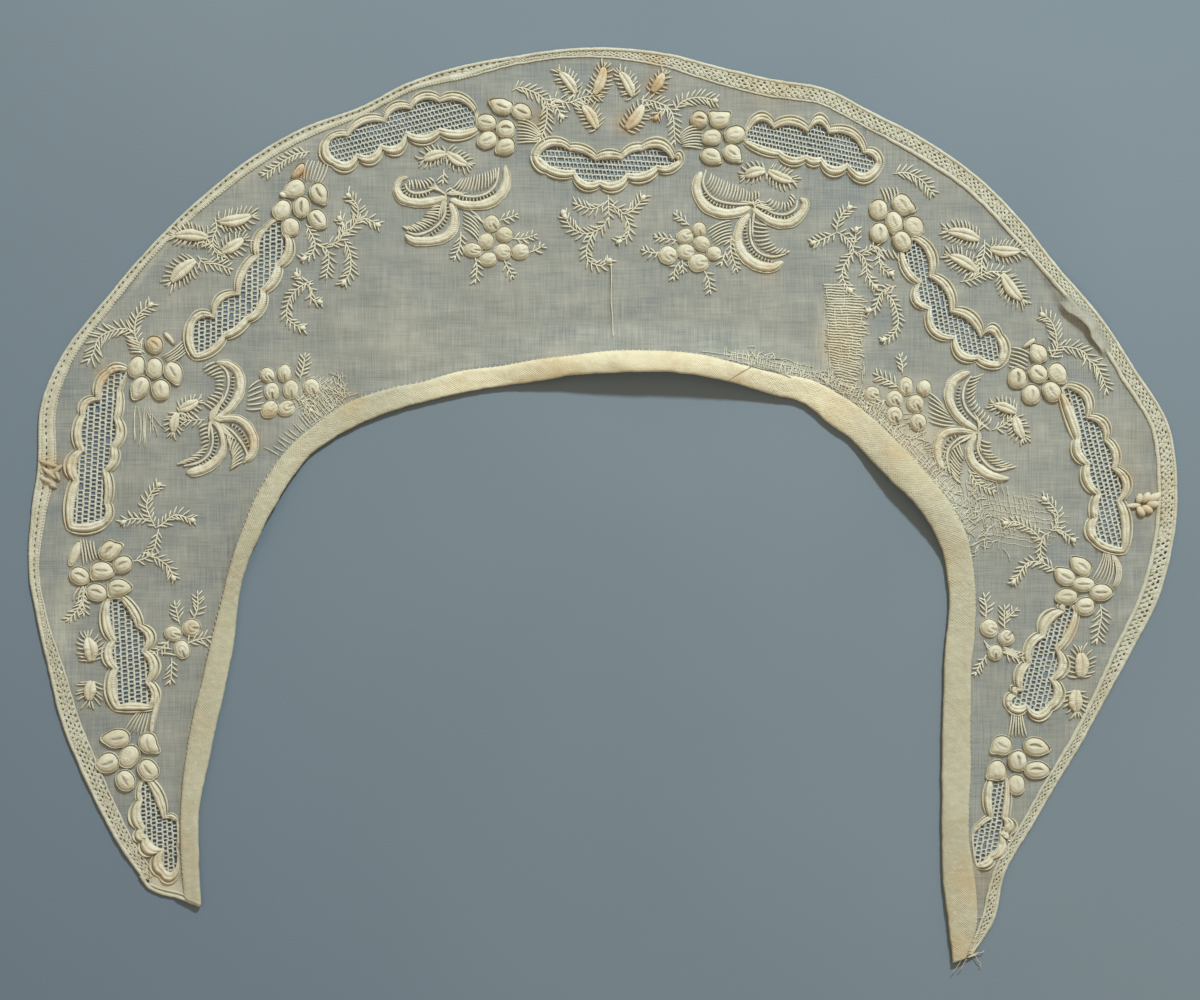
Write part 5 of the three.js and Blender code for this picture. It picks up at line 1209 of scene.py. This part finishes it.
# ----------------------------------------------------------------- berries ---
def domes(soup, rows, height, points=(), swirl=False, base=.42, seed=0):
    """Padded satin berries. `points` are drawn-out tips: x y turn."""
    rows = np.asarray(rows, float)
    K = len(rows)
    rad = np.array([.10, .19, .28, .37, .46, .54, .62, .69, .75, .80, .84, .875, .90, .925, .95, .975, 1.0])
    A = 40
    ang = np.arange(A) * 2 * np.pi / A
    boxy = 1.07 * (np.abs(np.cos(ang)) ** 2.12 + np.abs(np.sin(ang)) ** 2.12) ** (-1 / 2.12)
    u = rad[:, None] * np.cos(ang)[None]
    v = rad[:, None] * np.sin(ang)[None]
    r = rad[:, None] + 0 * ang[None]
    rng = np.random.default_rng(500 + seed)
    lump = boxy[None] * (1 + .05 * value_noise(np.cos(ang)[None] * 1.4 + np.arange(K)[:, None] * 7.1, np.sin(ang)[None] * 1.4 + np.arange(K)[:, None] * 3.3, 510 + seed, 2))
    cx, cy, rx, ry, turn, slit = rows.T
    a = np.radians(turn)[:, None, None]
    X = rx[:, None, None] * u * np.cos(a) - ry[:, None, None] * v * np.sin(a)
    Y = rx[:, None, None] * u * np.sin(a) + ry[:, None, None] * v * np.cos(a)
    X, Y = X * lump[:, None], Y * lump[:, None]
    way = np.arctan2(Y, X)
    for px, py, _ in points:
        k = np.hypot(cx - px, cy - py).argmin()
        d, th = math.hypot(px - cx[k], py - cy[k]), math.atan2(py - cy[k], px - cx[k])
        gap = np.abs((way[k] - th + np.pi) % (2 * np.pi) - np.pi)
        edge = np.hypot(X[k, -1], Y[k, -1])[np.abs(gap[-1]).argmin()]
        grow = 1 + max(.12, (d + 2.2) / edge - 1) * np.exp(-(gap / .34) ** 2) * smoothstep((r - .35) / .65)
        X[k], Y[k] = X[k] * grow, Y[k] * grow
    wob = value_noise(u[None] * 2.6 + np.arange(K)[:, None, None] * 5.3, v[None] * 2.6 + np.arange(K)[:, None, None] * 2.1, 520 + seed, 2)
    power = 2.2 if swirl else 3.0
    cushion = np.maximum(0, 1 - (r / .87) ** power) ** .55
    rim = .60 * np.exp(-((r - .95) / .034) ** 2) * (.7 if swirl else 1)
    z = np.maximum(np.maximum(cushion, rim * np.ones_like(cushion)), .10)[None] * np.ones((K, 1, 1))
    strength = slit[:, None, None]
    if swirl:
        # threads wound in a C: a curved groove open to one side
        qx, qy = u[None] - .10, v[None]
        ring = np.exp(-((np.hypot(qx, qy) - .40) / .085) ** 2) * smoothstep((np.abs(np.arctan2(qy, qx)) - .55) / .5)
        mouth = np.exp(-(v[None] / .13) ** 2) * smoothstep((u[None] - .02) / .3) * smoothstep((.98 - u[None]) / .25)
        cut = strength * np.maximum(.55 * ring, mouth)
    else:
        leaf = .05 + .105 * np.maximum(0, 1 - (u / .5) ** 2)
        bend = .10 * (1 - (u / .5) ** 2) * np.where(rng.uniform(0, 1, K) < .5, -1, 1)[:, None, None]
        cut = strength * np.exp(-((v[None] - bend) / leaf[None]) ** 2) * smoothstep((.58 - np.abs(u)) / .18)[None]
    soft = .10 * np.exp(-((np.hypot(u, v * 1.15) - .60) / .07) ** 2)[None]
    z = z * (1 + .10 * wob) - .44 * np.minimum(cut, 1.) * (z > .3) - soft * (z > .3)
    z = np.maximum(z, .06) * height * (1 + .06 * rng.uniform(-1, 1, K))[:, None, None]
    rings = np.stack([cx[:, None, None] + X, cy[:, None, None] + Y, base + z], 3)
    rings[:, -1, :, 2] = base
    top = np.stack([cx, cy, base + z[:, 0].mean(1)], 1)
    m, n = A, len(rad)
    v_all = np.concatenate([rings.reshape(K, -1, 3), top[:, None]], 1)
    i, j = np.meshgrid(np.arange(n - 1), np.arange(m), indexing='ij')
    i, j = i.ravel(), j.ravel()
    j2 = (j + 1) % m
    quad = np.stack([i * m + j, i * m + j2, (i + 1) * m + j2, (i + 1) * m + j], 1)
    tri = np.stack([np.full(m, n * m), (np.arange(m) + 1) % m, np.arange(m)], 1)
    ngon = ((n - 1) * m + np.arange(m))[None]
    per = n * m + 1
    off = (np.arange(K) * per)[:, None, None]
    faces = [(quad[None] + off).reshape(-1, 4), (tri[None] + off).reshape(-1, 3), (ngon[None] + off).reshape(-1, m)]
    st = np.zeros((K, per, 3))
    slope = (np.abs(v)[None] * ry[:, None, None] * .9 + rx[:, None, None] * u[None]) / 1.7
    st[:, :-1, 0] = np.where(r[None] > .89, ang[None, None] * 9 / 1.9, slope).reshape(K, -1)
    st[..., 2] = rng.uniform(0, .8, K)[:, None]
    tint = np.zeros((K, per, 3))
    # painted shade in the slits and in the groove inside the rim
    groove = .38 * np.exp(-((r - .895) / .020) ** 2) * (.6 if swirl else 1)
    tint[:, :-1, 1] = np.clip(.50 * np.minimum(cut, 1.1) + groove[None], 0, .85).reshape(K, -1)
    tint[:, -1, 1] = np.clip(.42 * cut[:, 0].mean(1), 0, .8)
    soup.add(v_all.reshape(-1, 3), faces, st.reshape(-1, 3), tint.reshape(-1, 3))


def fan(soup, row, r=.92):
    x0, y0, x1, y1, x2, y2, x3, y3, n, bow0, bow1 = row
    t = np.linspace(0, 1, int(n))[:, None]
    A = np.array([[x0, y0]]) + (np.array([[x1, y1]]) - [[x0, y0]]) * t
    B = np.array([[x2, y2]]) + (np.array([[x3, y3]]) - [[x2, y2]]) * t
    jog = np.random.default_rng(int(x0 * 7 + y0)).uniform(-.5, .5, A.shape)
    stitches(soup, A + jog, B - jog, z0=.66, arch=.34, r=r, n=9, bow=(bow0 + (bow1 - bow0) * t[:, 0]), flat=.8)


# slim plain leaves beside three of the clusters
SLIM = {'02': [[75.5, 553, 13.5, 4.8, -68, .2]], '03': [[170, 338, 8.5, 2.6, 50, .1]], '08': [[1029, 343, 8, 2.6, -35, .1]]}


def make_cluster(key):
    soup = Soup()
    domes(soup, BERRIES[key], 1.6, NUBS.get(key, []), seed=int(key))
    if key in SLIM:
        domes(soup, SLIM[key], 1.0, seed=30 + int(key))
    for row in FANS[key]:
        fan(soup, row)
    return finish_mesh(f'berry_cluster_{key}_satin', soup, M_SATIN, [f'berry_cluster_{key}'])


def make_bunch(key):
    soup = Soup()
    domes(soup, BUNCHES[key], 1.55, swirl=True, seed=40 + int(key))
    return finish_mesh(f'berry_bunch_{key}_satin', soup, M_SATIN, [f'berry_bunch_{key}'])


# ------------------------------------------------------------------ plumes ---
def band(soup, rows, holes, seed):
    """Padded satin band with a thin cord along its outer side."""
    n = 60
    p = spline(rows, n)
    t, nrm = normals(p)
    hm = spline(holes, 9)[4]
    k = np.linalg.norm(p[:, :2] - hm, axis=1).argmin()
    side = 1. if ((hm - p[k, :2]) * nrm[k]).sum() > 0 else -1.
    nrm = nrm * side                     # now towards the holes
    tt = np.linspace(0, 1, n)
    tip = np.clip(np.minimum(tt / .05, (1 - tt) / .06), 0, 1) ** .5
    w = (p[:, 2] * .86 * (.35 + .65 * tip))[:, None]
    # from the outer cord (-1) to the inner side (1)
    u = np.array([-1.0, -.95, -.87, -.79, -.73, -.67, -.58, -.40, -.18, 0, .10, .22, .45, .68, .86, .96, 1.0])
    z = np.array([.45, .84, .98, .82, .56, .70, 1.12, 1.44, 1.58, 1.52, 1.42, 1.52, 1.50, 1.24, .88, .55, .42])
    s = np.concatenate([[0], np.cumsum(np.linalg.norm(np.diff(p[:, :2], axis=0), axis=1))])

    def wave(size, m):
        return value_noise(s / size, s * 0 + seed * 1.7 + m, 610 + m, 2)
    bend = (1 - u ** 2)[None] * .10 * wave(7, 1)[:, None]
    xy = p[:, None, :2] + nrm[:, None] * ((u[None] + bend + .05) * w * (1 + .13 * wave(4, 2))[:, None])[..., None]
    zz = .42 + (z - .42)[None] * (.4 + .6 * tip)[:, None] * (.80 + .20 * np.clip(p[:, 2] / 5.5, 0, 1.1))[:, None]
    zz = zz + (.27 * wave(3.4, 3)[:, None] * np.exp(-((u - .35) / .35) ** 2)[None] + .27 * wave(3.0, 4)[:, None] * np.exp(-((u + .25) / .3) ** 2)[None]
               + .08 * wave(2.4, 5)[:, None] * np.exp(-((u + .87) / .1) ** 2)[None]) * (z > .6)
    rings = np.concatenate([xy, zz[..., None]], 2)[None]
    st = np.zeros(rings.shape)
    st[0, ..., 0] = s[:, None] / 1.8 + 1.3 * np.abs(u)[None]
    st[0, ..., 1] = u
    st[..., 2] = (seed * .37) % .8
    # painted shade in the groove before the outer cord and along the band's seam
    dark = np.broadcast_to(.34 * np.exp(-((u + .72) / .05) ** 2) + .12 * np.exp(-((u - .08) / .07) ** 2), (n, len(u)))[None]
    skin(soup, rings, st, dark, flip=side > 0)
    return nrm


ROOTS = {'01': (211, 421), '02': (446, 194), '03': (755, 205), '04': (978, 431)}


def make_plume(key):
    soup = Soup()
    for k, pl in enumerate(PLUMES[key]):
        band(soup, pl['band'], pl['holes'], int(key) * 3 + k)
        hole = spline(pl['holes'], max(3, int(length(pl['holes']) / 3.1)))
        d = np.gradient(hole, axis=0)
        d /= np.linalg.norm(d, axis=1)[:, None]
        q = np.linspace(-1, 1, 5)
        P = hole[:, None] + d[:, None] * (q * 1.1)[None, :, None]
        P = np.concatenate([P, np.full(P.shape[:2] + (1,), .66)], 2)
        # the holes drawn as dark dashes: painted shade where the holes are
        tubes(soup, P, 1.0 * np.sqrt(np.maximum(.08, 1 - q * q)), sides=6, flat=.45, dark=.95)
        # tiny bars between the holes
        mid = (hole[1:] + hole[:-1]) / 2
        dm = (d[1:] + d[:-1]) / 2
        nm = np.stack([-dm[:, 1], dm[:, 0]], 1)
        stitches(soup, mid - nm * 2.4, mid + nm * 2.4, z0=.74, arch=.2, r=.6, n=4)
        cord = spline(pl['cord'], int(length(pl['cord']) / 1.6))
        m = len(cord)
        tt = np.linspace(0, 1, m)
        wob = value_noise(tt * m / 3, tt * 0 + k, 640, 2)
        tubes(soup, np.concatenate([cord, (.84 + .07 * wob)[:, None]], 1)[None], 1.25 * (1 + .16 * wob) * (.6 + .4 * np.minimum(1, 8 * tt * (1 - tt))), sides=7, flat=.8)
        base, tips, count = pl['fringe']
        count = int(round(count * .84))
        A, B = spline(base, count), spline(tips, count)
        jit = np.random.default_rng(620 + int(key) * 5 + k).uniform(-.6, .6, B.shape)
        stitches(soup, A, B + jit, z0=.66, arch=.36, r=1.0, n=8, bow=.8)
    root = np.array(ROOTS[key], float)
    for k, pl in enumerate(PLUMES[key]):
        base = spline(pl['fringe'][0], 14)
        order = np.argsort(np.linalg.norm(base - root, axis=1))[:5]
        B = base[order] + (base[order] - root) * .05
        side = np.random.default_rng(660 + k).uniform(-1.3, 1.3, (5, 2))
        stitches(soup, np.repeat(root[None], 5, 0) + side, B, z0=.74, arch=.30, r=.9, n=9, bow=np.linspace(-1.5, 1.5, 5))
    return finish_mesh(f'plume_{key}_satin', soup, M_SATIN, [f'plume_{key}'])


# ------------------------------------------------------- ferns and leaves ----
def make_ferns():
    soup = Soup()
    A, B, R = [], [], []
    kn = []
    rng = np.random.default_rng(700)
    for knot, size, *pts in FERNS:
        L = length(pts)
        n = max(4, int(L / 2))
        p = spline(pts, n)
        tt = np.linspace(0, 1, n)
        tubes(soup, np.concatenate([p, np.full((n, 1), .72)], 1)[None], .80 * (.7 + .3 * np.minimum(1, 6 * tt * (1 - tt))), sides=6, flat=.8)
        count = max(2, int(L / 4.5))
        q = spline(pts, count * 2 + 1)
        t, nrm = normals(q)
        idx = np.arange(1, count * 2 + 1, 1)
        side = np.where(idx % 2 == 0, 1., -1.)
        t, nrm, q = t[idx], nrm[idx], q[idx]
        ang = np.radians(rng.uniform(38, 56, len(idx)))
        d = t * np.cos(ang)[:, None] + nrm * (np.sin(ang) * side)[:, None]
        ln = size * 1.36 * rng.uniform(.86, 1.12, len(idx)) * (.82 + .18 * np.sin(np.pi * np.linspace(.15, 1, len(idx))))
        A.append(q)
        B.append(q + d * ln[:, None])
        R.append(np.full(len(idx), .80))
        if knot:
            e = p[-1] - p[-2]
            kn.append([*p[-1], math.degrees(math.atan2(e[1], e[0]))])
        else:
            A.append(p[-1:])
            e = (p[-1] - p[-2]) / np.linalg.norm(p[-1] - p[-2])
            B.append(p[-1:] + e[None] * size * .8)
            R.append(np.array([.86]))
    A, B, R = np.vstack(A), np.vstack(B), np.concatenate(R)
    stitches(soup, A, B, z0=.62, arch=.34, r=R * rng.uniform(.9, 1.15, len(A)), n=6, bow=rng.uniform(-.5, .5, len(A)))
    for row in LINKS:
        fan(soup, row, .84)
    for x, y, turn in kn + [[283, 195, 30], [609, 261, 20], [563, 213, -80]]:
        a = math.radians(turn)
        d = np.array([math.cos(a), math.sin(a)])
        p = np.stack([np.array([x, y]) + d * k for k in (-3.2, -2.2, -.8, .8, 2.2, 3.2)])
        z = np.array([.8, .95, 1.05, 1.05, .95, .8])
        tubes(soup, np.concatenate([p, z[:, None]], 1)[None], np.array([.7, 1.7, 2.3, 2.4, 1.9, .7]), sides=8, flat=.8)
    return finish_mesh('feather_stitched_sprigs', soup, M_PALE)


def make_leaves():
    soup = Soup()
    rng = np.random.default_rng(800)
    A, B = [], []
    for x0, y0, x1, y1, half, size in LEAVES:
        p0, p1 = np.array([x0, y0], float), np.array([x1, y1], float)
        d = p1 - p0
        L = np.linalg.norm(d)
        d /= L
        nrm = np.array([-d[1], d[0]])
        bend = .06 * L
        n = 22
        t = np.linspace(0, 1, n)
        body = np.sin(np.pi * np.clip(.06 + .88 * t, 0, 1)) ** .7
        for sgn in (-1, 1):
            wob = value_noise(t * 6 + x0, t * 0 + sgn * 3 + y0, 810, 2)
            mid = p0 + d * L * t[:, None] + nrm * (sgn * half * (.52 + .08 * wob) * body + bend * 4 * t * (1 - t))[:, None]
            z = .70 + (.42 + .10 * wob) * body
            tubes(soup, np.concatenate([mid, z[:, None]], 1)[None], half * (.60 + .05 * wob) * body + .25, sides=10, flat=.85, pitch=1.4)
        # the spikes all round it
        count = int(L / 3.2)
        tt = np.linspace(.0, 1, count)
        bb = np.sin(np.pi * np.clip(.06 + .88 * tt, 0, 1)) ** .7
        for sgn in (-1, 1):
            a = p0 + d * L * tt[:, None] + nrm * (sgn * half * .8 * bb + bend * 4 * tt * (1 - tt))[:, None]
            ang = np.radians(np.interp(tt, [0, .7, 1], [78, 58, 30]) + rng.uniform(-6, 6, count))
            dv = d * np.cos(ang)[:, None] + nrm * (np.sin(ang) * sgn)[:, None]
            A.append(a)
            B.append(a + dv * (size * 1.30 * rng.uniform(.85, 1.1, count))[:, None])
        ang = np.radians([-14, 12])
        a = np.stack([p1, p1]) - d
        dv = d * np.cos(ang)[:, None] + nrm * np.sin(ang)[:, None]
        A.append(a)
        B.append(a + dv * size * 1.05)
    A, B = np.vstack(A), np.vstack(B)
    stitches(soup, A, B, z0=.62, arch=.34, r=rng.uniform(.74, .92, len(A)), n=7, bow=rng.uniform(-1., 1., len(A)))
    return finish_mesh('spiky_leaves', soup, M_SATIN)


# --------------------------------------------------- darns and loose threads --
def make_darns():
    soup = Soup()
    rng = np.random.default_rng(900)

    def patch(poly, direction, pitch, jitter, r, count_cross=0, z=.66, wave=.8, dark=0.):
        poly = np.asarray(poly, float)
        c = poly.mean(0)
        a = math.radians(direction)
        ux, uy = np.array([math.cos(a), math.sin(a)]), np.array([-math.sin(a), math.cos(a)])
        u, v = (poly - c) @ ux, (poly - c) @ uy
        for line in np.arange(v.min(), v.max(), pitch):
            g = np.arange(u.min(), u.max(), 1.8)
            off = line + rng.uniform(-jitter, jitter) + wave * value_noise(g / 6, g * 0 + line, 910)
            p = c + g[:, None] * ux + off[:, None] * uy
            ok = inside(p, poly)
            e = np.flatnonzero(np.diff(np.concatenate([[0], ok.astype(int), [0]])))
            for s0, s1 in zip(e[::2], e[1::2]):
                s0, s1 = max(0, s0 - int(rng.integers(0, 3))), min(len(g), s1 + int(rng.integers(0, 3)))
                if s1 - s0 < 4:
                    continue
                q = p[s0:s1]
                zz = z + .08 * np.sin(g[s0:s1] * 1.1 + line)
                tubes(soup, np.concatenate([q, zz[:, None]], 1)[None], r * rng.uniform(.8, 1.15), sides=4, dark=dark)
    # the darned patch on the right of the back
    rows = np.arange(285, 386, 2.7)
    for i, y in enumerate(rows):
        lo = np.interp(y, [285, 320, 350, 385], [824, 827, 825, 838]) + rng.uniform(-1.5, 1.5)
        hi = np.interp(y, [285, 300, 325, 350, 385], [850, 866, 868, 863, 857]) + rng.uniform(-3, 3)
        drop = np.interp(y, [285, 320, 360, 385], [1, 2, 6, 5])
        n = 20
        t = np.linspace(0, 1, n)
        px = lo + (hi - lo) * t
        py = y + drop * (t - .3) + 1.2 * value_noise(px / 5, px * 0 + i * .6, 915) + (1.2 if i % 2 else -.3) * (t > .9)
        zz = .70 + .10 * np.sin(px * 1.2 + i * np.pi)
        tubes(soup, np.stack([px, py, zz], 1)[None], (.84 * rng.uniform(.85, 1.2)) * (.5 + .5 * np.minimum(1, 9 * t * (1 - t))), sides=5, flat=.8)
    fx = rng.uniform(826, 864, 26)
    fy = rng.uniform(288, 372, 26)
    stitches(soup, np.stack([fx, fy], 1), np.stack([fx + rng.uniform(-2, 2, 26), fy + rng.uniform(9, 17, 26)], 1), z0=.7, arch=.1, r=.5, n=6, bow=rng.uniform(-1, 1, 26))
    # the fine whipping that holds the torn edge above the tape
    s = np.concatenate([[0], np.cumsum(np.linalg.norm(np.diff(NECK, axis=0), axis=1))])
    for x0, x1, step, lo, hi, r in [(722, 828, 2.9, 1, 15, .46), (828, 868, 3.0, 1, 20, .5), (868, 950, 3.2, 1, 17, .5), (300, 352, 3.2, 1, 20, .5), (950, 968, 3.4, 1, 15, .46)]:
        pos = np.arange(x0, x1, step)
        q = np.interp(pos, NECK[:, 0][QF > 20] if x0 > 600 else NECK[:, 0], (np.arange(FINE + 1)[QF > 20] if x0 > 600 else np.arange(FINE + 1)))
        k = q.astype(int)
        out = EDGE[k] - NECK[k]
        out /= np.linalg.norm(out, axis=1)[:, None]
        w = TAPE_W[k]
        far = rng.uniform(.62, 1.05, len(pos)) * (hi - lo)
        A = NECK[k] + out * (w + lo)[:, None]
        B = NECK[k] + out * (w + lo + far)[:, None] + rng.uniform(-1.6, 1.6, (len(pos), 2))
        stitches(soup, A, B, z0=.74, arch=.14, r=r, n=6, bow=rng.uniform(-.8, .8, len(pos)))
    # along the neck edge, right of the centre
    patch([[722, 350], [790, 358], [850, 384], [868, 408], [830, 404], [790, 388], [736, 368]], 14, 4.4, 1., .5, wave=1.6)
    patch([[862, 396], [905, 430], [950, 490], [972, 540], [956, 546], [938, 512], [905, 470], [866, 428], [850, 408]], 48, 3.2, 1., .56, wave=1.5)
    patch([[880, 404], [912, 436], [950, 486], [966, 520], [948, 520], [915, 470], [880, 430]], 128, 5.5, 1.5, .46, wave=1.8, z=.74)
    patch([[950, 478], [1000, 484], [1030, 500], [1040, 520], [1000, 540], [975, 520]], 80, 4.4, 1.3, .44, wave=1.8)
    patch([[985, 500], [1045, 492], [1070, 520], [1040, 556], [1000, 545]], 10, 5.2, 1.5, .40, wave=1.6, z=.56)
    # left, beside the small bunch and the tape
    patch([[306, 374], [330, 378], [352, 392], [340, 410], [318, 428], [300, 414]], -42, 3.6, 1., .5, wave=1.5)
    patch([[318, 380], [350, 394], [326, 420], [304, 404]], 50, 5.4, 1.2, .44, wave=1.5, z=.74)
    fx = np.linspace(134, 152, 9) + rng.uniform(-.8, .8, 9)
    stitches(soup, np.stack([fx, 406 + rng.uniform(-4, 8, 9)], 1), np.stack([fx + rng.uniform(-2, 3, 9), 446 + rng.uniform(-14, 4, 9)], 1), z0=.7, arch=.06, r=.55, n=12, bow=rng.uniform(-1.4, 1.4, 9))
    # the pale thread drawn down the centre back
    q = spline([(611, 262), (611.5, 280), (611, 300), (612.5, 318), (613, 337)], 40)
    tubes(soup, np.concatenate([q, np.full((40, 1), .86)], 1)[None], .62 * (1 + .2 * value_noise(np.arange(40) / 2., np.zeros(40), 916, 2)), sides=5)
    # short fuzzy threads laid over the worn cloth beside the tape
    for x0, y0, x1, y1, deep, count in [(742, 366, 836, 396, 20, 60), (836, 400, 880, 436, 26, 60), (880, 436, 940, 500, 34, 110), (940, 500, 972, 560, 40, 80), (306, 420, 352, 398, 26, 50)]:
        u = rng.uniform(0, 1, count)
        out = np.array([y1 - y0, -(x1 - x0)], float) if x0 > 500 else np.array([y1 - y0, -(x1 - x0)], float)
        out /= np.linalg.norm(out)
        c = np.stack([x0 + (x1 - x0) * u, y0 + (y1 - y0) * u], 1) + out * rng.uniform(0, deep, count)[:, None]
        a = math.atan2(out[1], out[0]) + rng.normal(0, .55, count)
        d = np.stack([np.cos(a), np.sin(a)], 1) * rng.uniform(3, 8, count)[:, None]
        stitches(soup, c - d, c + d, z0=.72, arch=.12, r=rng.uniform(.36, .56, count), n=7, bow=rng.uniform(-2, 2, count))
    # loose ends
    ends = [(962, 958, 952, 972), (966, 958, 960, 969), (975, 955, 981, 966), (972, 953, 984, 952), (148, 412, 158, 436), (152, 414, 168, 430),
            (950, 500, 978, 512), (956, 506, 990, 506), (1003, 548, 1012, 560), (336, 420, 352, 412), (330, 372, 346, 378), (700, 352, 736, 356),
            (345, 398, 358, 392), (934, 446, 948, 462), (871, 404, 888, 412), (40, 470, 58, 486), (752, 356, 786, 362), (812, 372, 840, 392)]
    for x0, y0, x1, y1 in ends:
        n = 12
        t = np.linspace(0, 1, n)
        w = value_noise(t * 3, t * 0 + x0, 930) * 3.2
        d = np.array([x1 - x0, y1 - y0], float)
        nr = np.array([-d[1], d[0]]) / np.linalg.norm(d)
        p = np.array([x0, y0]) + d * t[:, None] + nr * (w * t)[:, None]
        z = .8 + .5 * np.abs(value_noise(t * 4, t * 0 + y0, 931))
        tubes(soup, np.concatenate([p, z[:, None]], 1)[None], .34, sides=4)
    return finish_mesh('darning_and_loose_threads', soup, M_DARN)


def make_mends():
    """The knotted leaf-shaped mend over the left edge and the small one at the right edge."""
    soup = Soup()
    rows = [(41, 461, 57, 466, 3.4), (44, 468, 56, 478, 3.2), (42, 478, 55, 484, 3.2), (52, 474, 62, 466, 3.2), (50, 484, 57, 487, 3.0),
            (56, 470, 60, 480, 3.0), (1127, 506, 1139, 505, 2.8), (1138, 502.5, 1139.5, 494.5, 4.4), (1143, 501.5, 1148, 493.5, 4.6), (1148, 500.5, 1159, 494.5, 5.0),
            (1147, 504.5, 1157, 503.5, 5.0), (1142.5, 507, 1151, 511.5, 4.8), (1137.5, 507.5, 1143, 515, 4.5)]
    for x0, y0, x1, y1, r in rows:
        n = 9
        t = np.linspace(-.1, 1.1, n)
        p = np.array([x0, y0]) + (np.array([x1, y1]) - [x0, y0]) * t[:, None]
        b = np.sin(np.pi * np.linspace(.04, .96, n)) ** .6
        tubes(soup, np.concatenate([p, (.8 + .4 * b)[:, None]], 1)[None], r * b * (.66 if x0 < 100 else .82) + .2, sides=9, flat=.8, dark=.2 if x0 < 100 else .03)
    return finish_mesh('mended_leaf_knots', soup, M_SATIN)


# --------------------------------------------------------------- assembly ----
muslin = make_muslin()
tape, tape_len, tape_cut = make_tape()
with_cloth = [make_tape_stitches(), make_lace(), make_hem()]
for key, rows in WINDOWS.items():
    with_cloth.append(make_border(key, rows))
    with_cloth.append(make_net(key, rows))
for key in BERRIES:
    with_cloth.append(make_cluster(key))
for key in BUNCHES:
    with_cloth.append(make_bunch(key))
for key in PLUMES:
    with_cloth.append(make_plume(key))
with_cloth += [make_ferns(), make_leaves(), make_darns(), make_mends()]

# ------------------------------------------------------- floor, light, view --
floor_me = bpy.data.meshes.new('paper')
R = 1.6
floor_me.from_pydata([(-R, -R, 0), (R, -R, 0), (R, R, 0), (-R, R, 0)], [], [(0, 1, 2, 3)])
floor = bpy.data.objects.new('paper', floor_me)
floor.location = (0, 0, -.00005)
bpy.context.scene.collection.objects.link(floor)
k = Nodes('backdrop_paper')
tone = k.noise(k.place((9, 9, 9)), 1, 2, .5)
grain = k.noise(k.place((1800, 1800, 1800)), 1, 2, .6)
paper = k.mix(k.fit(tone, .3, .7), rgb(125, 137, 143), rgb(121, 133, 139))
where = k.split(k.place((1, 1, 1)))
# painted shade: the paper darker and bluer towards the lower left, where the key light falls off
lower_left_falloff = k.math('ADD', k.math('MULTIPLY', where[0], -.75), k.math('MULTIPLY', where[1], -.66))
paper = k.mix(k.fit(lower_left_falloff, -.02, .26, 0., .85), paper, rgb(104, 118, 130))
k.shader(paper, .92, k.bump(grain, .25, .0002))
floor_me.materials.append(k.m)

scene = bpy.context.scene
cam_data = bpy.data.cameras.new('camera')
cam_data.sensor_width, cam_data.lens = 36, 85
cam_data.clip_start, cam_data.clip_end = .05, 20
cam = bpy.data.objects.new('camera', cam_data)
cam.location = ((600 - MID_X) * UNIT * 1e-3, (MID_Y - 500) * UNIT * 1e-3, .85)
scene.collection.objects.link(cam)
scene.camera = cam


def area_light(name, place, size, power, colour):
    d = bpy.data.lights.new(name, 'AREA')
    d.shape, d.size, d.energy, d.color = 'DISK', size, power, colour
    o = bpy.data.objects.new(name, d)
    o.location = place
    from mathutils import Vector
    o.rotation_euler = (Vector((0, 0, 0)) - Vector(place)).to_track_quat('-Z', 'Y').to_euler()
    scene.collection.objects.link(o)


area_light('key', (.54, 1.20, 1.08), .17, 30.8, (.77, .90, 1.))
area_light('fill', (-.8, .2, 1.1), .9, 1.2, (1., .93, .84))
world = bpy.data.worlds.new('studio')
scene.world = world
world.use_nodes = True
bg = next(n for n in world.node_tree.nodes if n.type == 'BACKGROUND')
bg.inputs[0].default_value = (1., .87, .70, 1)
bg.inputs[1].default_value = .435
scene.view_settings.view_transform = 'Standard'
